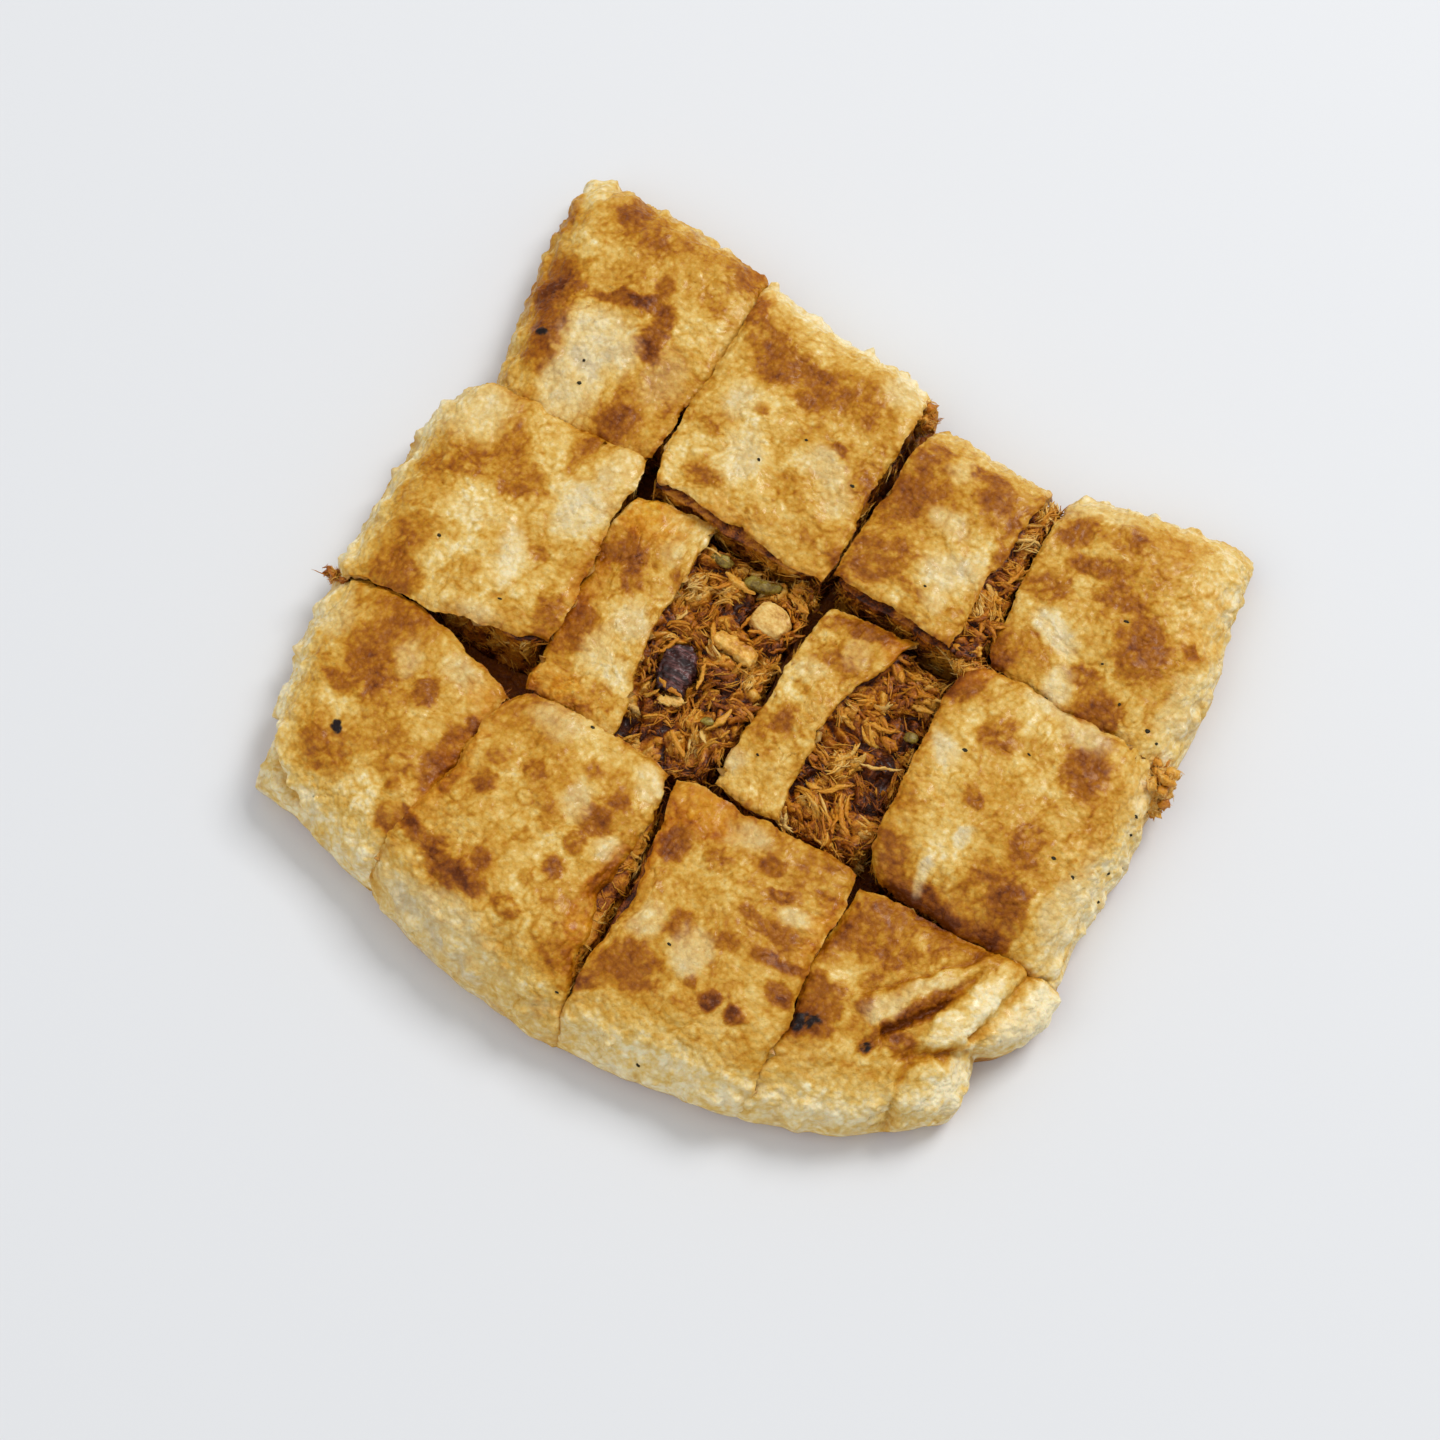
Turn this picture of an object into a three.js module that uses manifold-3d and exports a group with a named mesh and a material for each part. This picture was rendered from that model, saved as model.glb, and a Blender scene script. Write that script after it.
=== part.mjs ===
// Murtabak: a stuffed, pan-fried flatbread, cut with a scraper into twelve slices that keep its shape.
// Millimetres, +Z up. X runs along the loaf from left to right, Y from the near side to the far side.
import * as THREE from "three";
import { mergeVertices } from "three/addons/utils/BufferGeometryUtils.js";
import Module from "manifold-3d";

const DOUGH = 1.9; // thickness of the fried dough sheet
const CLEARANCE = 0.3; // between the dough and its filling, and around each embedded bit
const RIM_HEIGHT = 5; // height of the loaf's outermost line, where the dough turns under
const RIM_ROWS = 4; // steps over the rounded shoulder
const TUCK = [1, 0.4, 0, 0]; // share of RIM_HEIGHT left under each of those steps
const FLAT_STEPS = 4; // steps over the fried top between shoulders or cuts
const RIPPLE = 0.35; // height of the shallow ripples on a fried top
const DROOP_RUN = 14; // how far in from a pressed-down edge the top is level again
const LOOSE_STEPS = 8; // steps over filling that lies open
const LUMP_HEIGHT = 1.3; // height of the lumps on open filling
const OPEN_DROP = 1.2; // how far open filling lies below the dough that covered it

// How far in from each outer side the top levels off.
const SHOULDER = { left: 13, far: 14, right: 14, near: 19 };

// corners in plan: far left, far right, near right, near left. rims: the sides that are the loaf's outer rim.
// height: the fried top. swell: how much higher its middle puffs. bulge: how far an outer side bows out.
// shy: how far the upper dough has drawn back from a cut. droop: how far a cut edge is pressed down.
// lid: the share of the width that the upper dough still covers at the near side, midway and at the far side.
const SLICES = [
  {
    name: "a1",
    corners: [[-98, 105], [-43.5, 100], [-42.5, 43.5], [-88.5, 42.5]],
    rims: ["left", "far"],
    height: 19,
    swell: 1.6,
    bulge: { far: 3, left: 1.5 },
  },
  {
    name: "a2",
    corners: [[-41.5, 99.5], [7, 94], [6.8, 33.5], [-40.5, 35]],
    rims: ["far"],
    height: 21,
    swell: 1.2,
  },
  {
    name: "a3",
    corners: [[12.5, 88.5], [45, 84.5], [47, 34.5], [8.7, 35]],
    rims: ["far"],
    height: 21,
    swell: 0.8,
    shy: { right: 4 },
  },
  {
    name: "a4",
    corners: [[46, 84.5], [89.5, 96], [99, 36.5], [48.5, 36.5]],
    rims: ["right", "far"],
    height: 19,
    swell: 1.6,
    bulge: { far: 4, right: 1 },
  },
  {
    name: "b1",
    corners: [[-98, 38], [-44.3, 41.5], [-41, -10.5], [-94.5, -15.5]],
    rims: ["left"],
    height: 20,
    swell: 1.4,
  },
  {
    name: "b2",
    corners: [[-42.5, 33.3], [7, 31.5], [8, -21], [-38.5, -23]],
    rims: [],
    height: 17,
    swell: 0.6,
    lid: [0.49, 0.43, 0.44],
  },
  {
    name: "b3",
    corners: [[10.5, 31.8], [44, 31], [46.5, -20.5], [9.5, -21]],
    rims: [],
    height: 17.5,
    swell: 0.6,
    lid: [0.49, 0.43, 0.6],
  },
  {
    name: "b4",
    corners: [[44.8, 32], [98, 33], [98.5, -23], [49.3, -20]],
    rims: ["right"],
    height: 20.5,
    swell: 1.8,
    droop: { near: 4.5 },
  },
  {
    name: "c1",
    corners: [[-94, -19], [-41, -23.8], [-47.2, -77], [-79.5, -67.5]],
    rims: ["left", "near"],
    height: 19,
    swell: 1.2,
    bulge: { left: 2.5 },
  },
  {
    name: "c2",
    corners: [[-39, -25], [1, -24], [7.2, -87.5], [-46, -77.5]],
    rims: ["near"],
    height: 21,
    swell: 2.2,
    bulge: { near: 3 },
  },
  {
    name: "c3",
    corners: [[2.2, -23.8], [47.5, -22.5], [51, -80], [8.5, -87]],
    rims: ["near"],
    height: 20,
    swell: 1.2,
    bulge: { near: 1.5 },
  },
  {
    name: "c4",
    corners: [[50.3, -24.5], [100, -25.5], [91, -59], [52.2, -80]],
    rims: ["right", "near"],
    height: 18,
    swell: 1,
    bulge: { right: -1, near: 4 },
  },
];

// Larger bits in the open filling. at: the middle in plan. size: along the bit's own axes. turn: degrees.
// rise: how far its middle is above or below the filling's level.
const BITS = [
  { name: "chicken_cube", slice: "b2", at: [0.4, 21.4], size: [10.5, 7.5, 6], turn: -10, rise: 0 },
  { name: "chicken_strip", slice: "b2", at: [-2.6, 11.6], size: [12.5, 4.5, 4], turn: -10, rise: 0.3 },
  { name: "onion_petal", slice: "b2", at: [-11.6, 1.2], size: [8.5, 13, 4], turn: 14, rise: -0.2 },
  { name: "chilli_slice", slice: "b2", at: [-5.2, 29], size: [9.5, 3.4, 3.4], turn: 4, rise: -0.2 },
];

const LOOKS = {
  crust: { color: 0xc9963f, roughness: 0.55 },
  filling: { color: 0xa4611c, roughness: 0.5 },
  chicken_cube: { color: 0xe3b876, roughness: 0.5 },
  chicken_strip: { color: 0xe3b876, roughness: 0.5 },
  onion_petal: { color: 0x4a3040, roughness: 0.35 },
  chilli_slice: { color: 0x7d7a2a, roughness: 0.4 },
};

const wasm = await Module();
wasm.setup();

const mix = THREE.MathUtils.lerp;
const distance = ([ax, ay], [bx, by]) => Math.hypot(bx - ax, by - ay);

/** Mean width and depth of a slice between opposite sides. */
function spans({ corners: [farLeft, farRight, nearRight, nearLeft] }) {
  return {
    width: (distance(farLeft, farRight) + distance(nearLeft, nearRight)) / 2,
    depth: (distance(farLeft, nearLeft) + distance(farRight, nearRight)) / 2,
  };
}

/** Plan point of a slice, u from left to right and v from near to far, with its outer sides bowed out. */
function planPoint({ corners, bulge = {} }, u, v) {
  const [farLeft, farRight, nearRight, nearLeft] = corners;
  const bow = (t) => 4 * t * (1 - t);
  const x = mix(mix(nearLeft[0], nearRight[0], u), mix(farLeft[0], farRight[0], u), v);
  const y = mix(mix(nearLeft[1], nearRight[1], u), mix(farLeft[1], farRight[1], u), v);
  const sideways = (bulge.right ?? 0) * u - (bulge.left ?? 0) * (1 - u);
  const lengthways = (bulge.far ?? 0) * v - (bulge.near ?? 0) * (1 - v);
  return [x + sideways * bow(v), y + lengthways * bow(u)];
}

/** Height of a slice's fried top away from its shoulders: swollen in the middle, with shallow ripples. */
function topHeight(slice, u, v, x, y) {
  const { height, swell, droop = {} } = slice;
  const puff = swell * Math.sin(Math.PI * u) * Math.sin(Math.PI * v);
  const ripple = RIPPLE * (Math.sin(x / 7 + y / 19) + Math.sin(y / 8 - x / 23));
  const nearEdge = Math.max(0, 1 - (v * spans(slice).depth) / DROOP_RUN);
  return height + puff + ripple - (droop.near ?? 0) * nearEdge ** 2;
}

/** Steps over a rounded shoulder, from the rim inwards: how far in each is, and the rise and tuck there. */
function shoulderSteps(width) {
  return Array.from({ length: width ? RIM_ROWS : 0 }, (_, k) => {
    const angle = ((k / RIM_ROWS) * Math.PI) / 2;
    return { run: width * (1 - Math.cos(angle)), rise: Math.sin(angle), tuck: TUCK[k] };
  });
}

/**
 * Grid lines across a slice from its first side to its last. Each has its distance from the first side (at),
 * the share of the full height that the top reaches (rise) and the share of RIM_HEIGHT under it (tuck).
 * A side is { shoulder, back }: the shoulder's width, and how far in from the slice's side it starts.
 */
function gridLines(length, first, last, steps) {
  const start = first.back;
  const end = length - last.back;
  const [flatStart, flatEnd] = [start + first.shoulder, end - last.shoulder];
  const opening = shoulderSteps(first.shoulder).map((step) => ({ ...step, at: start + step.run }));
  const closing = shoulderSteps(last.shoulder).map((step) => ({ ...step, at: end - step.run }));
  const flat = Array.from({ length: steps + 1 }, (_, k) => {
    return { at: mix(flatStart, flatEnd, k / steps), rise: 1, tuck: 0 };
  });
  return [...opening, ...flat, ...closing.reverse()];
}

/**
 * The upper and the lower surface of a slice at a depth inside its dough, as grids of points [across][along].
 * shy holds how far each cut side is drawn back, reach is the share of the width that is kept at each v,
 * steps is the number of flat steps, and lump adds to the top.
 */
function surfaces(slice, inset, { shy = {}, reach = () => 1, steps = FLAT_STEPS, lump = () => 0 } = {}) {
  const { width, depth } = spans(slice);
  const edge = (side) => {
    const isRim = slice.rims.includes(side);
    return isRim ? { shoulder: SHOULDER[side], back: inset } : { shoulder: 0, back: shy[side] ?? 0 };
  };
  const across = gridLines(width, edge("left"), edge("right"), steps);
  const along = gridLines(depth, edge("near"), edge("far"), steps);
  const grid = (heightAt) =>
    across.map((column) =>
      along.map((row) => {
        const v = row.at / depth;
        const u = (column.at / width) * reach(v);
        const [x, y] = planPoint(slice, u, v);
        return new THREE.Vector3(x, y, heightAt(column, row, u, v, x, y));
      }),
    );
  const upper = grid((column, row, u, v, x, y) => {
    const full = topHeight(slice, u, v, x, y) - inset + lump(u, v, x, y);
    return mix(RIM_HEIGHT, full, column.rise * row.rise);
  });
  const lower = grid((column, row) => mix(inset, RIM_HEIGHT, 1 - (1 - column.tuck) * (1 - row.tuck)));
  return { upper, lower };
}

/** Collects faces into one closed geometry. */
class Skin {
  points = [];

  quad(a, b, c, d) {
    this.points.push(a, b, c, a, c, d);
  }

  /** Faces over a grid of points, facing up or down. */
  cover(grid, facingUp) {
    for (let i = 0; i + 1 < grid.length; i++)
      for (let j = 0; j + 1 < grid[i].length; j++) {
        const [a, b, c, d] = [grid[i][j], grid[i + 1][j], grid[i + 1][j + 1], grid[i][j + 1]];
        if (facingUp) this.quad(a, b, c, d);
        else this.quad(a, d, c, b);
      }
  }

  /** Outward walls from the lower grid's border up to the upper grid's, on the named sides. */
  walls(upper, lower, sides) {
    for (const side of sides) {
      const [high, low] = [borderOf(upper, side), borderOf(lower, side)];
      for (let k = 0; k + 1 < high.length; k++) this.quad(low[k], low[k + 1], high[k + 1], high[k]);
    }
  }

  geometry() {
    const coordinates = this.points.flatMap((p) => p.toArray());
    const loose = new THREE.BufferGeometry();
    loose.setAttribute("position", new THREE.Float32BufferAttribute(coordinates, 3));
    return mergeVertices(loose, 1e-3);
  }
}

const SIDES = ["near", "right", "far", "left"];

/** One side of a grid, in the order that runs anticlockwise round it seen from above. */
function borderOf(grid, side) {
  if (side === "near") return grid.map((column) => column[0]);
  if (side === "right") return grid.at(-1);
  if (side === "far") return grid.map((column) => column.at(-1)).reverse();
  return [...grid[0]].reverse();
}

/** A flat sheet of dough between two grids, closed on all four sides. */
function slab(upper, lower) {
  const skin = new Skin();
  skin.cover(upper, true);
  skin.cover(lower, false);
  skin.walls(upper, lower, SIDES);
  return skin.geometry();
}

/** The dough folded round a slice: over the top, round each rim and back underneath, and open at the cuts. */
function envelope(slice) {
  const cuts = SIDES.filter((side) => !slice.rims.includes(side));
  const outer = surfaces(slice, 0, { shy: slice.shy });
  const inner = surfaces(slice, DOUGH, { shy: slice.shy });
  const skin = new Skin();
  skin.cover(outer.upper, true);
  skin.cover(inner.upper, false);
  skin.cover(inner.lower, true);
  skin.cover(outer.lower, false);
  skin.walls(outer.upper, inner.upper, cuts);
  skin.walls(inner.lower, outer.lower, cuts);
  return skin.geometry();
}

/** The share of a middle slice's width that its lid covers at v, on one bend through its three shares. */
function lidReach({ lid: [near, middle, far] }, v) {
  return near * (1 - v) * (1 - 2 * v) + middle * 4 * v * (1 - v) + far * v * (2 * v - 1);
}

/** The upper sheet that still covers the left share of a middle slice. */
function lidSheet(slice) {
  const reach = (v) => lidReach(slice, v);
  return slab(surfaces(slice, 0, { reach }).upper, surfaces(slice, DOUGH, { reach }).upper);
}

/** The lower sheet of a middle slice. */
function baseSheet(slice) {
  return slab(surfaces(slice, DOUGH).lower, surfaces(slice, 0).lower);
}

/** Lumps over the share of a middle slice that its lid leaves open. */
function openLumps(slice) {
  return (u, v, x, y) => {
    if (u <= lidReach(slice, v)) return 0;
    const lump = Math.sin(x / 2.1 + y / 5.3) * Math.cos(y / 2.7 - x / 6.1);
    return LUMP_HEIGHT * lump - OPEN_DROP;
  };
}

/** The filling between the dough sheets, flush with the cuts. */
function fillingOf(slice) {
  const options = slice.lid ? { steps: LOOSE_STEPS, lump: openLumps(slice) } : {};
  const { upper, lower } = surfaces(slice, DOUGH + CLEARANCE, options);
  const skin = new Skin();
  skin.cover(upper, true);
  skin.cover(lower, false);
  skin.walls(upper, lower, SIDES.filter((side) => !slice.rims.includes(side)));
  return skin.geometry();
}

/** A chunk with rounded corners, grown all round by a margin, at its place in the filling. */
function chunk({ slice: sliceName, at, size, turn, rise }, margin) {
  const BOXINESS = 0.6; // 1 is an ellipsoid, and less is squarer
  const square = (c) => Math.sign(c) * Math.abs(c) ** BOXINESS;
  const ball = new THREE.SphereGeometry(1, 10, 6);
  const position = ball.getAttribute("position");
  for (let i = 0; i < position.count; i++) {
    const half = size.map((length) => length / 2 + margin);
    position.setXYZ(
      i,
      square(position.getX(i)) * half[0],
      square(position.getY(i)) * half[1],
      square(position.getZ(i)) * half[2],
    );
  }
  const slice = SLICES.find(({ name }) => name === sliceName);
  const height = slice.height - DOUGH - OPEN_DROP + rise;
  ball.rotateZ(THREE.MathUtils.degToRad(turn));
  ball.translate(at[0], at[1], height);
  ball.deleteAttribute("normal");
  ball.deleteAttribute("uv");
  return mergeVertices(ball, 1e-3);
}

/** A closed geometry as a manifold-3d solid. */
function solidOf(geometry) {
  return new wasm.Manifold(
    new wasm.Mesh({
      numProp: 3,
      vertProperties: geometry.getAttribute("position").array,
      triVerts: new Uint32Array(geometry.index.array),
    }),
  );
}

/** A manifold-3d solid as a geometry. */
function geometryOf(solid) {
  const { vertProperties, triVerts } = solid.getMesh();
  const geometry = new THREE.BufferGeometry();
  geometry.setAttribute("position", new THREE.BufferAttribute(vertProperties, 3));
  geometry.setIndex(new THREE.BufferAttribute(triVerts, 1));
  return geometry;
}

/** The filling of a slice with a pocket cut for each bit that lies in it. */
function pocketedFilling(slice) {
  const bits = BITS.filter((bit) => bit.slice === slice.name);
  if (!bits.length) return fillingOf(slice);
  const pocketed = bits.reduce(
    (solid, bit) => solid.subtract(solidOf(chunk(bit, CLEARANCE))),
    solidOf(fillingOf(slice)),
  );
  return geometryOf(pocketed);
}

const murtabak = new THREE.Group();

/** Adds a sub-part under its name, in its own material. */
function add(name, geometry, look) {
  const mesh = new THREE.Mesh(geometry, new THREE.MeshStandardMaterial({ ...LOOKS[look], metalness: 0 }));
  mesh.name = name;
  murtabak.add(mesh);
}

for (const slice of SLICES) {
  if (slice.lid) {
    add(`crust_${slice.name}_lid`, lidSheet(slice), "crust");
    add(`crust_${slice.name}_base`, baseSheet(slice), "crust");
  } else {
    add(`crust_${slice.name}`, envelope(slice), "crust");
  }
  add(`filling_${slice.name}`, pocketedFilling(slice), "filling");
}
for (const bit of BITS) add(bit.name, chunk(bit, 0), bit.name);

// The origin is at the middle of the loaf's footprint, on the surface that it rests on.
const extent = new THREE.Box3().setFromObject(murtabak);
const middle = extent.getCenter(new THREE.Vector3());
murtabak.position.set(-middle.x, -middle.y, -extent.min.z);

export default murtabak;
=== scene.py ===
"""Dresses the murtabak: blistered fried dough, shredded filling, embedded bits, crumbs, floor, light and camera."""

from __future__ import annotations

import itertools
import logging
import math
from collections.abc import Iterable, Sequence
from dataclasses import dataclass, field, replace
from enum import Enum
from functools import partial
from typing import Any

import bmesh
import bpy
import numpy as np
from bpy.types import Collection, Material, Mesh, Node, NodeSocket, Object
from mathutils import Matrix, Vector


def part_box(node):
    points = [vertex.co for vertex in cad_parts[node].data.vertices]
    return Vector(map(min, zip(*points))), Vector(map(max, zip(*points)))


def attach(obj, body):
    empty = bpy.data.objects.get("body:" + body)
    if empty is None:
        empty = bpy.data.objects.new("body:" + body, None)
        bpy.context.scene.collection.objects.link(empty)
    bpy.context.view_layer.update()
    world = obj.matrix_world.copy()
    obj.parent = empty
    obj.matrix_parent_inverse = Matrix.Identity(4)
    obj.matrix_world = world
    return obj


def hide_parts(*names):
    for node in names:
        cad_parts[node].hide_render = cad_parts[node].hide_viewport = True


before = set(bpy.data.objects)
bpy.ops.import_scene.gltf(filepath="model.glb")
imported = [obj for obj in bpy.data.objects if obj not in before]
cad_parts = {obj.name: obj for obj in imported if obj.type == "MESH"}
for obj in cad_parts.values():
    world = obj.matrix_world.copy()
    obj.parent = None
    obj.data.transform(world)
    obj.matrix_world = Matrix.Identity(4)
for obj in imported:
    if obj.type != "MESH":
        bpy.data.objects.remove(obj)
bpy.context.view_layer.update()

Array = np.ndarray
Triple = tuple[float, float, float]
Colour = Triple
LOG = logging.getLogger("murtabak")
MM = 0.001


# ---- Noise ----


@dataclass(frozen=True)
class Cells:
    """Where points lie among round cells scattered through space.

    near is the distance to the nearest cell's middle and edge how much further the second nearest is, both as shares
    of the cells' spacing. owner is the nearest cell's own number from 0 to 1, and arm the way from its middle, in mm.
    """

    near: Array
    edge: Array
    owner: Array
    arm: Array


@dataclass(frozen=True)
class Noise:
    """Smooth and cellular noise over points in millimetres. The same seed always gives the same noise."""

    seed: int

    def chance(self, cell: Array, salt: int) -> Array:
        """A number from 0 to 1 for each lattice cell.

        Args:
            cell: whole lattice positions, shape (..., 3).
            salt: picks one of many independent sets of numbers.

        Returns:
            The numbers, shape (...).
        """
        cell = cell.astype(np.int64)
        h = cell[..., 0] * 73856093 ^ cell[..., 1] * 19349663 ^ cell[..., 2] * 83492791
        h = (h ^ (self.seed * 2654435761 + salt * 40503)) & 0xFFFFFFFF
        for _ in range(2):
            h = ((h ^ (h >> 16)) * 0x45D9F3B) & 0xFFFFFFFF
        return (h ^ (h >> 16)) / 4294967296.0

    def smooth(self, points: Array, size: float, salt: int = 0) -> Array:
        """Gradient noise from about -1 to 1.

        Args:
            points: positions, shape (..., 3).
            size: the width of one hump.
            salt: picks an independent pattern.

        Returns:
            The noise, shape (...).
        """
        q = points / size + 17.3 * salt
        base = np.floor(q)
        f = q - base
        fade = f * f * f * (f * (f * 6 - 15) + 10)
        total = np.zeros(q.shape[:-1])
        for corner in itertools.product((0, 1), repeat=3):
            cell = base + corner
            lean = np.stack([self.chance(cell, salt * 3 + k) for k in range(3)], -1) * 2 - 1
            share = np.prod(np.where(np.array(corner) == 1, fade, 1 - fade), axis=-1)
            total += share * ((f - corner) * lean).sum(-1)
        return total * 1.7

    def vectors(self, points: Array, size: float, salts: Iterable[int]) -> Array:
        """Smooth noise of each salt side by side, shape (..., number of salts)."""
        return np.stack([self.smooth(points, size, salt) for salt in salts], -1)

    def fractal(self, points: Array, size: float, octaves: int = 3, salt: int = 0) -> Array:
        """Smooth noise with finer and fainter noise added to it.

        Args:
            points: positions, shape (..., 3).
            size: the width of the largest humps.
            octaves: how many layers.
            salt: picks an independent pattern.

        Returns:
            The noise, shape (...).
        """
        return sum(self.smooth(points, size / 2.1**k, salt + 11 * k) * 0.55**k for k in range(octaves))

    def cells(self, points: Array, size: float, salt: int = 0) -> Cells:
        """Finds the cell that each point lies in.

        Args:
            points: positions, shape (..., 3).
            size: the mean distance between the cells' middles.
            salt: picks an independent pattern.

        Returns:
            Where the points lie.
        """
        q = points / size + 9.1 * salt
        base = np.floor(q)
        first = np.full(q.shape[:-1], 9.0)
        second = first.copy()
        owner = np.zeros(q.shape[:-1])
        arm = np.zeros(q.shape)
        for offset in itertools.product((-1, 0, 1), repeat=3):
            cell = base + offset
            middle = cell + np.stack([self.chance(cell, 900 + salt * 5 + k) for k in range(3)], -1)
            reach = np.linalg.norm(middle - q, axis=-1)
            closer = reach < first
            second = np.where(closer, first, np.minimum(second, reach))
            first = np.where(closer, reach, first)
            owner = np.where(closer, self.chance(cell, 903 + salt * 5), owner)
            arm = np.where(closer[..., None], (q - middle) * size, arm)
        return Cells(first, second - first, owner, arm)


def ease(low: float, high: float, value: Array) -> Array:
    """A smooth step from 0 at low to 1 at high."""
    t = np.clip((value - low) / (high - low), 0, 1)
    return t * t * (3 - 2 * t)


def drift(points: Array) -> Array:
    """Shifts the loaf a little sideways and upward, so that no side or cut runs straight.

    Args:
        points: loaf positions in mm, shape (..., 3).

    Returns:
        The shifted positions.
    """
    noise = Noise(77)
    plan = points * (1, 1, 0)
    shift = 1.5 * noise.vectors(plan, 24.0, range(3)) + 0.6 * noise.vectors(plan, 8.0, range(3, 6))
    shift[..., 2] *= 0.6 * np.clip(points[..., 2] / 15, 0, 1)
    shift[..., :2] += 0.5 * noise.vectors(plan, 4.5, (6, 7))
    return points + shift


# ---- What the griddle left on the dough ----


class Tone(Enum):
    """What a mark on the fried dough is."""

    TOAST = "toast"
    PALE = "pale"
    CHAR = "char"
    STAIN = "stain"


@dataclass(frozen=True)
class Mark:
    """One mark. u and v are shares of the slice's width and depth, from its near left corner.

    wide and deep are half sizes in mm along the slice's width and depth before the turn, in degrees. dome is how far
    the dough has risen there, in mm, and ring darkens the mark's rim and lightens its middle.
    """

    tone: Tone
    u: float
    v: float
    wide: float
    deep: float
    strength: float
    turn: float = 0.0
    dome: float = 0.0
    ring: float = 0.0


# A browned patch, a translucent one that the griddle didn't brown, a burnt spot, and turmeric oil soaked in.
toast, pale = partial(Mark, Tone.TOAST), partial(Mark, Tone.PALE)
char, stain = partial(Mark, Tone.CHAR, dome=0.25), partial(Mark, Tone.STAIN)


@dataclass(frozen=True)
class Crease:
    """A fold line in the dough, through points in shares of the slice's width and depth.

    depth is the groove's, and step is how much higher the dough stands on the line's left, both in mm.
    """

    line: tuple[tuple[float, float], ...]
    depth: float
    width: float = 0.8
    step: float = 0.0


class Side(Enum):
    """A side of a slice, in the order that runs anticlockwise seen from above."""

    NEAR = 0
    RIGHT = 1
    FAR = 2
    LEFT = 3


NEAR, RIGHT, FAR, LEFT = Side

# How far in from each outer side the top levels off, in mm.
SHOULDER = {LEFT: 13.0, FAR: 14.0, RIGHT: 14.0, NEAR: 19.0}
# The way out of each side, along X and Y.
OUTWARD = {LEFT: (-1, 0), RIGHT: (1, 0), NEAR: (0, -1), FAR: (0, 1)}
# Where the rims are lowest, how thick the dough and the bare under sheet are, and how far the under layer always
# comes out at a cut, in mm. The ledge is partly the real bottom layer left by the knife and partly a dark sheet
# of painted shade in the gaps between slices.
RIM_HEIGHT, DOUGH, UNDER_SHEET, LEDGE = 5.0, 1.5, 1.7, 1.5
# How far in from a side the droop, the slump, the skirt and the spill fade out, in mm.
DROOP_RUN, SLUMP_RUN, SKIRT_RUN, SPILL_RUN = 14.0, 9.0, 4.0, 3.0
# How far a corner between two cut sides is rounded off, and over what reach, in mm.
ROUND, ROUND_REACH = 1.5, 4.5
# Each corner's shares u and v, and the sides that meet there.
MEETINGS = (((0, 1), (FAR, LEFT)), ((1, 1), (FAR, RIGHT)), ((1, 0), (NEAR, RIGHT)), ((0, 0), (NEAR, LEFT)))


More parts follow.
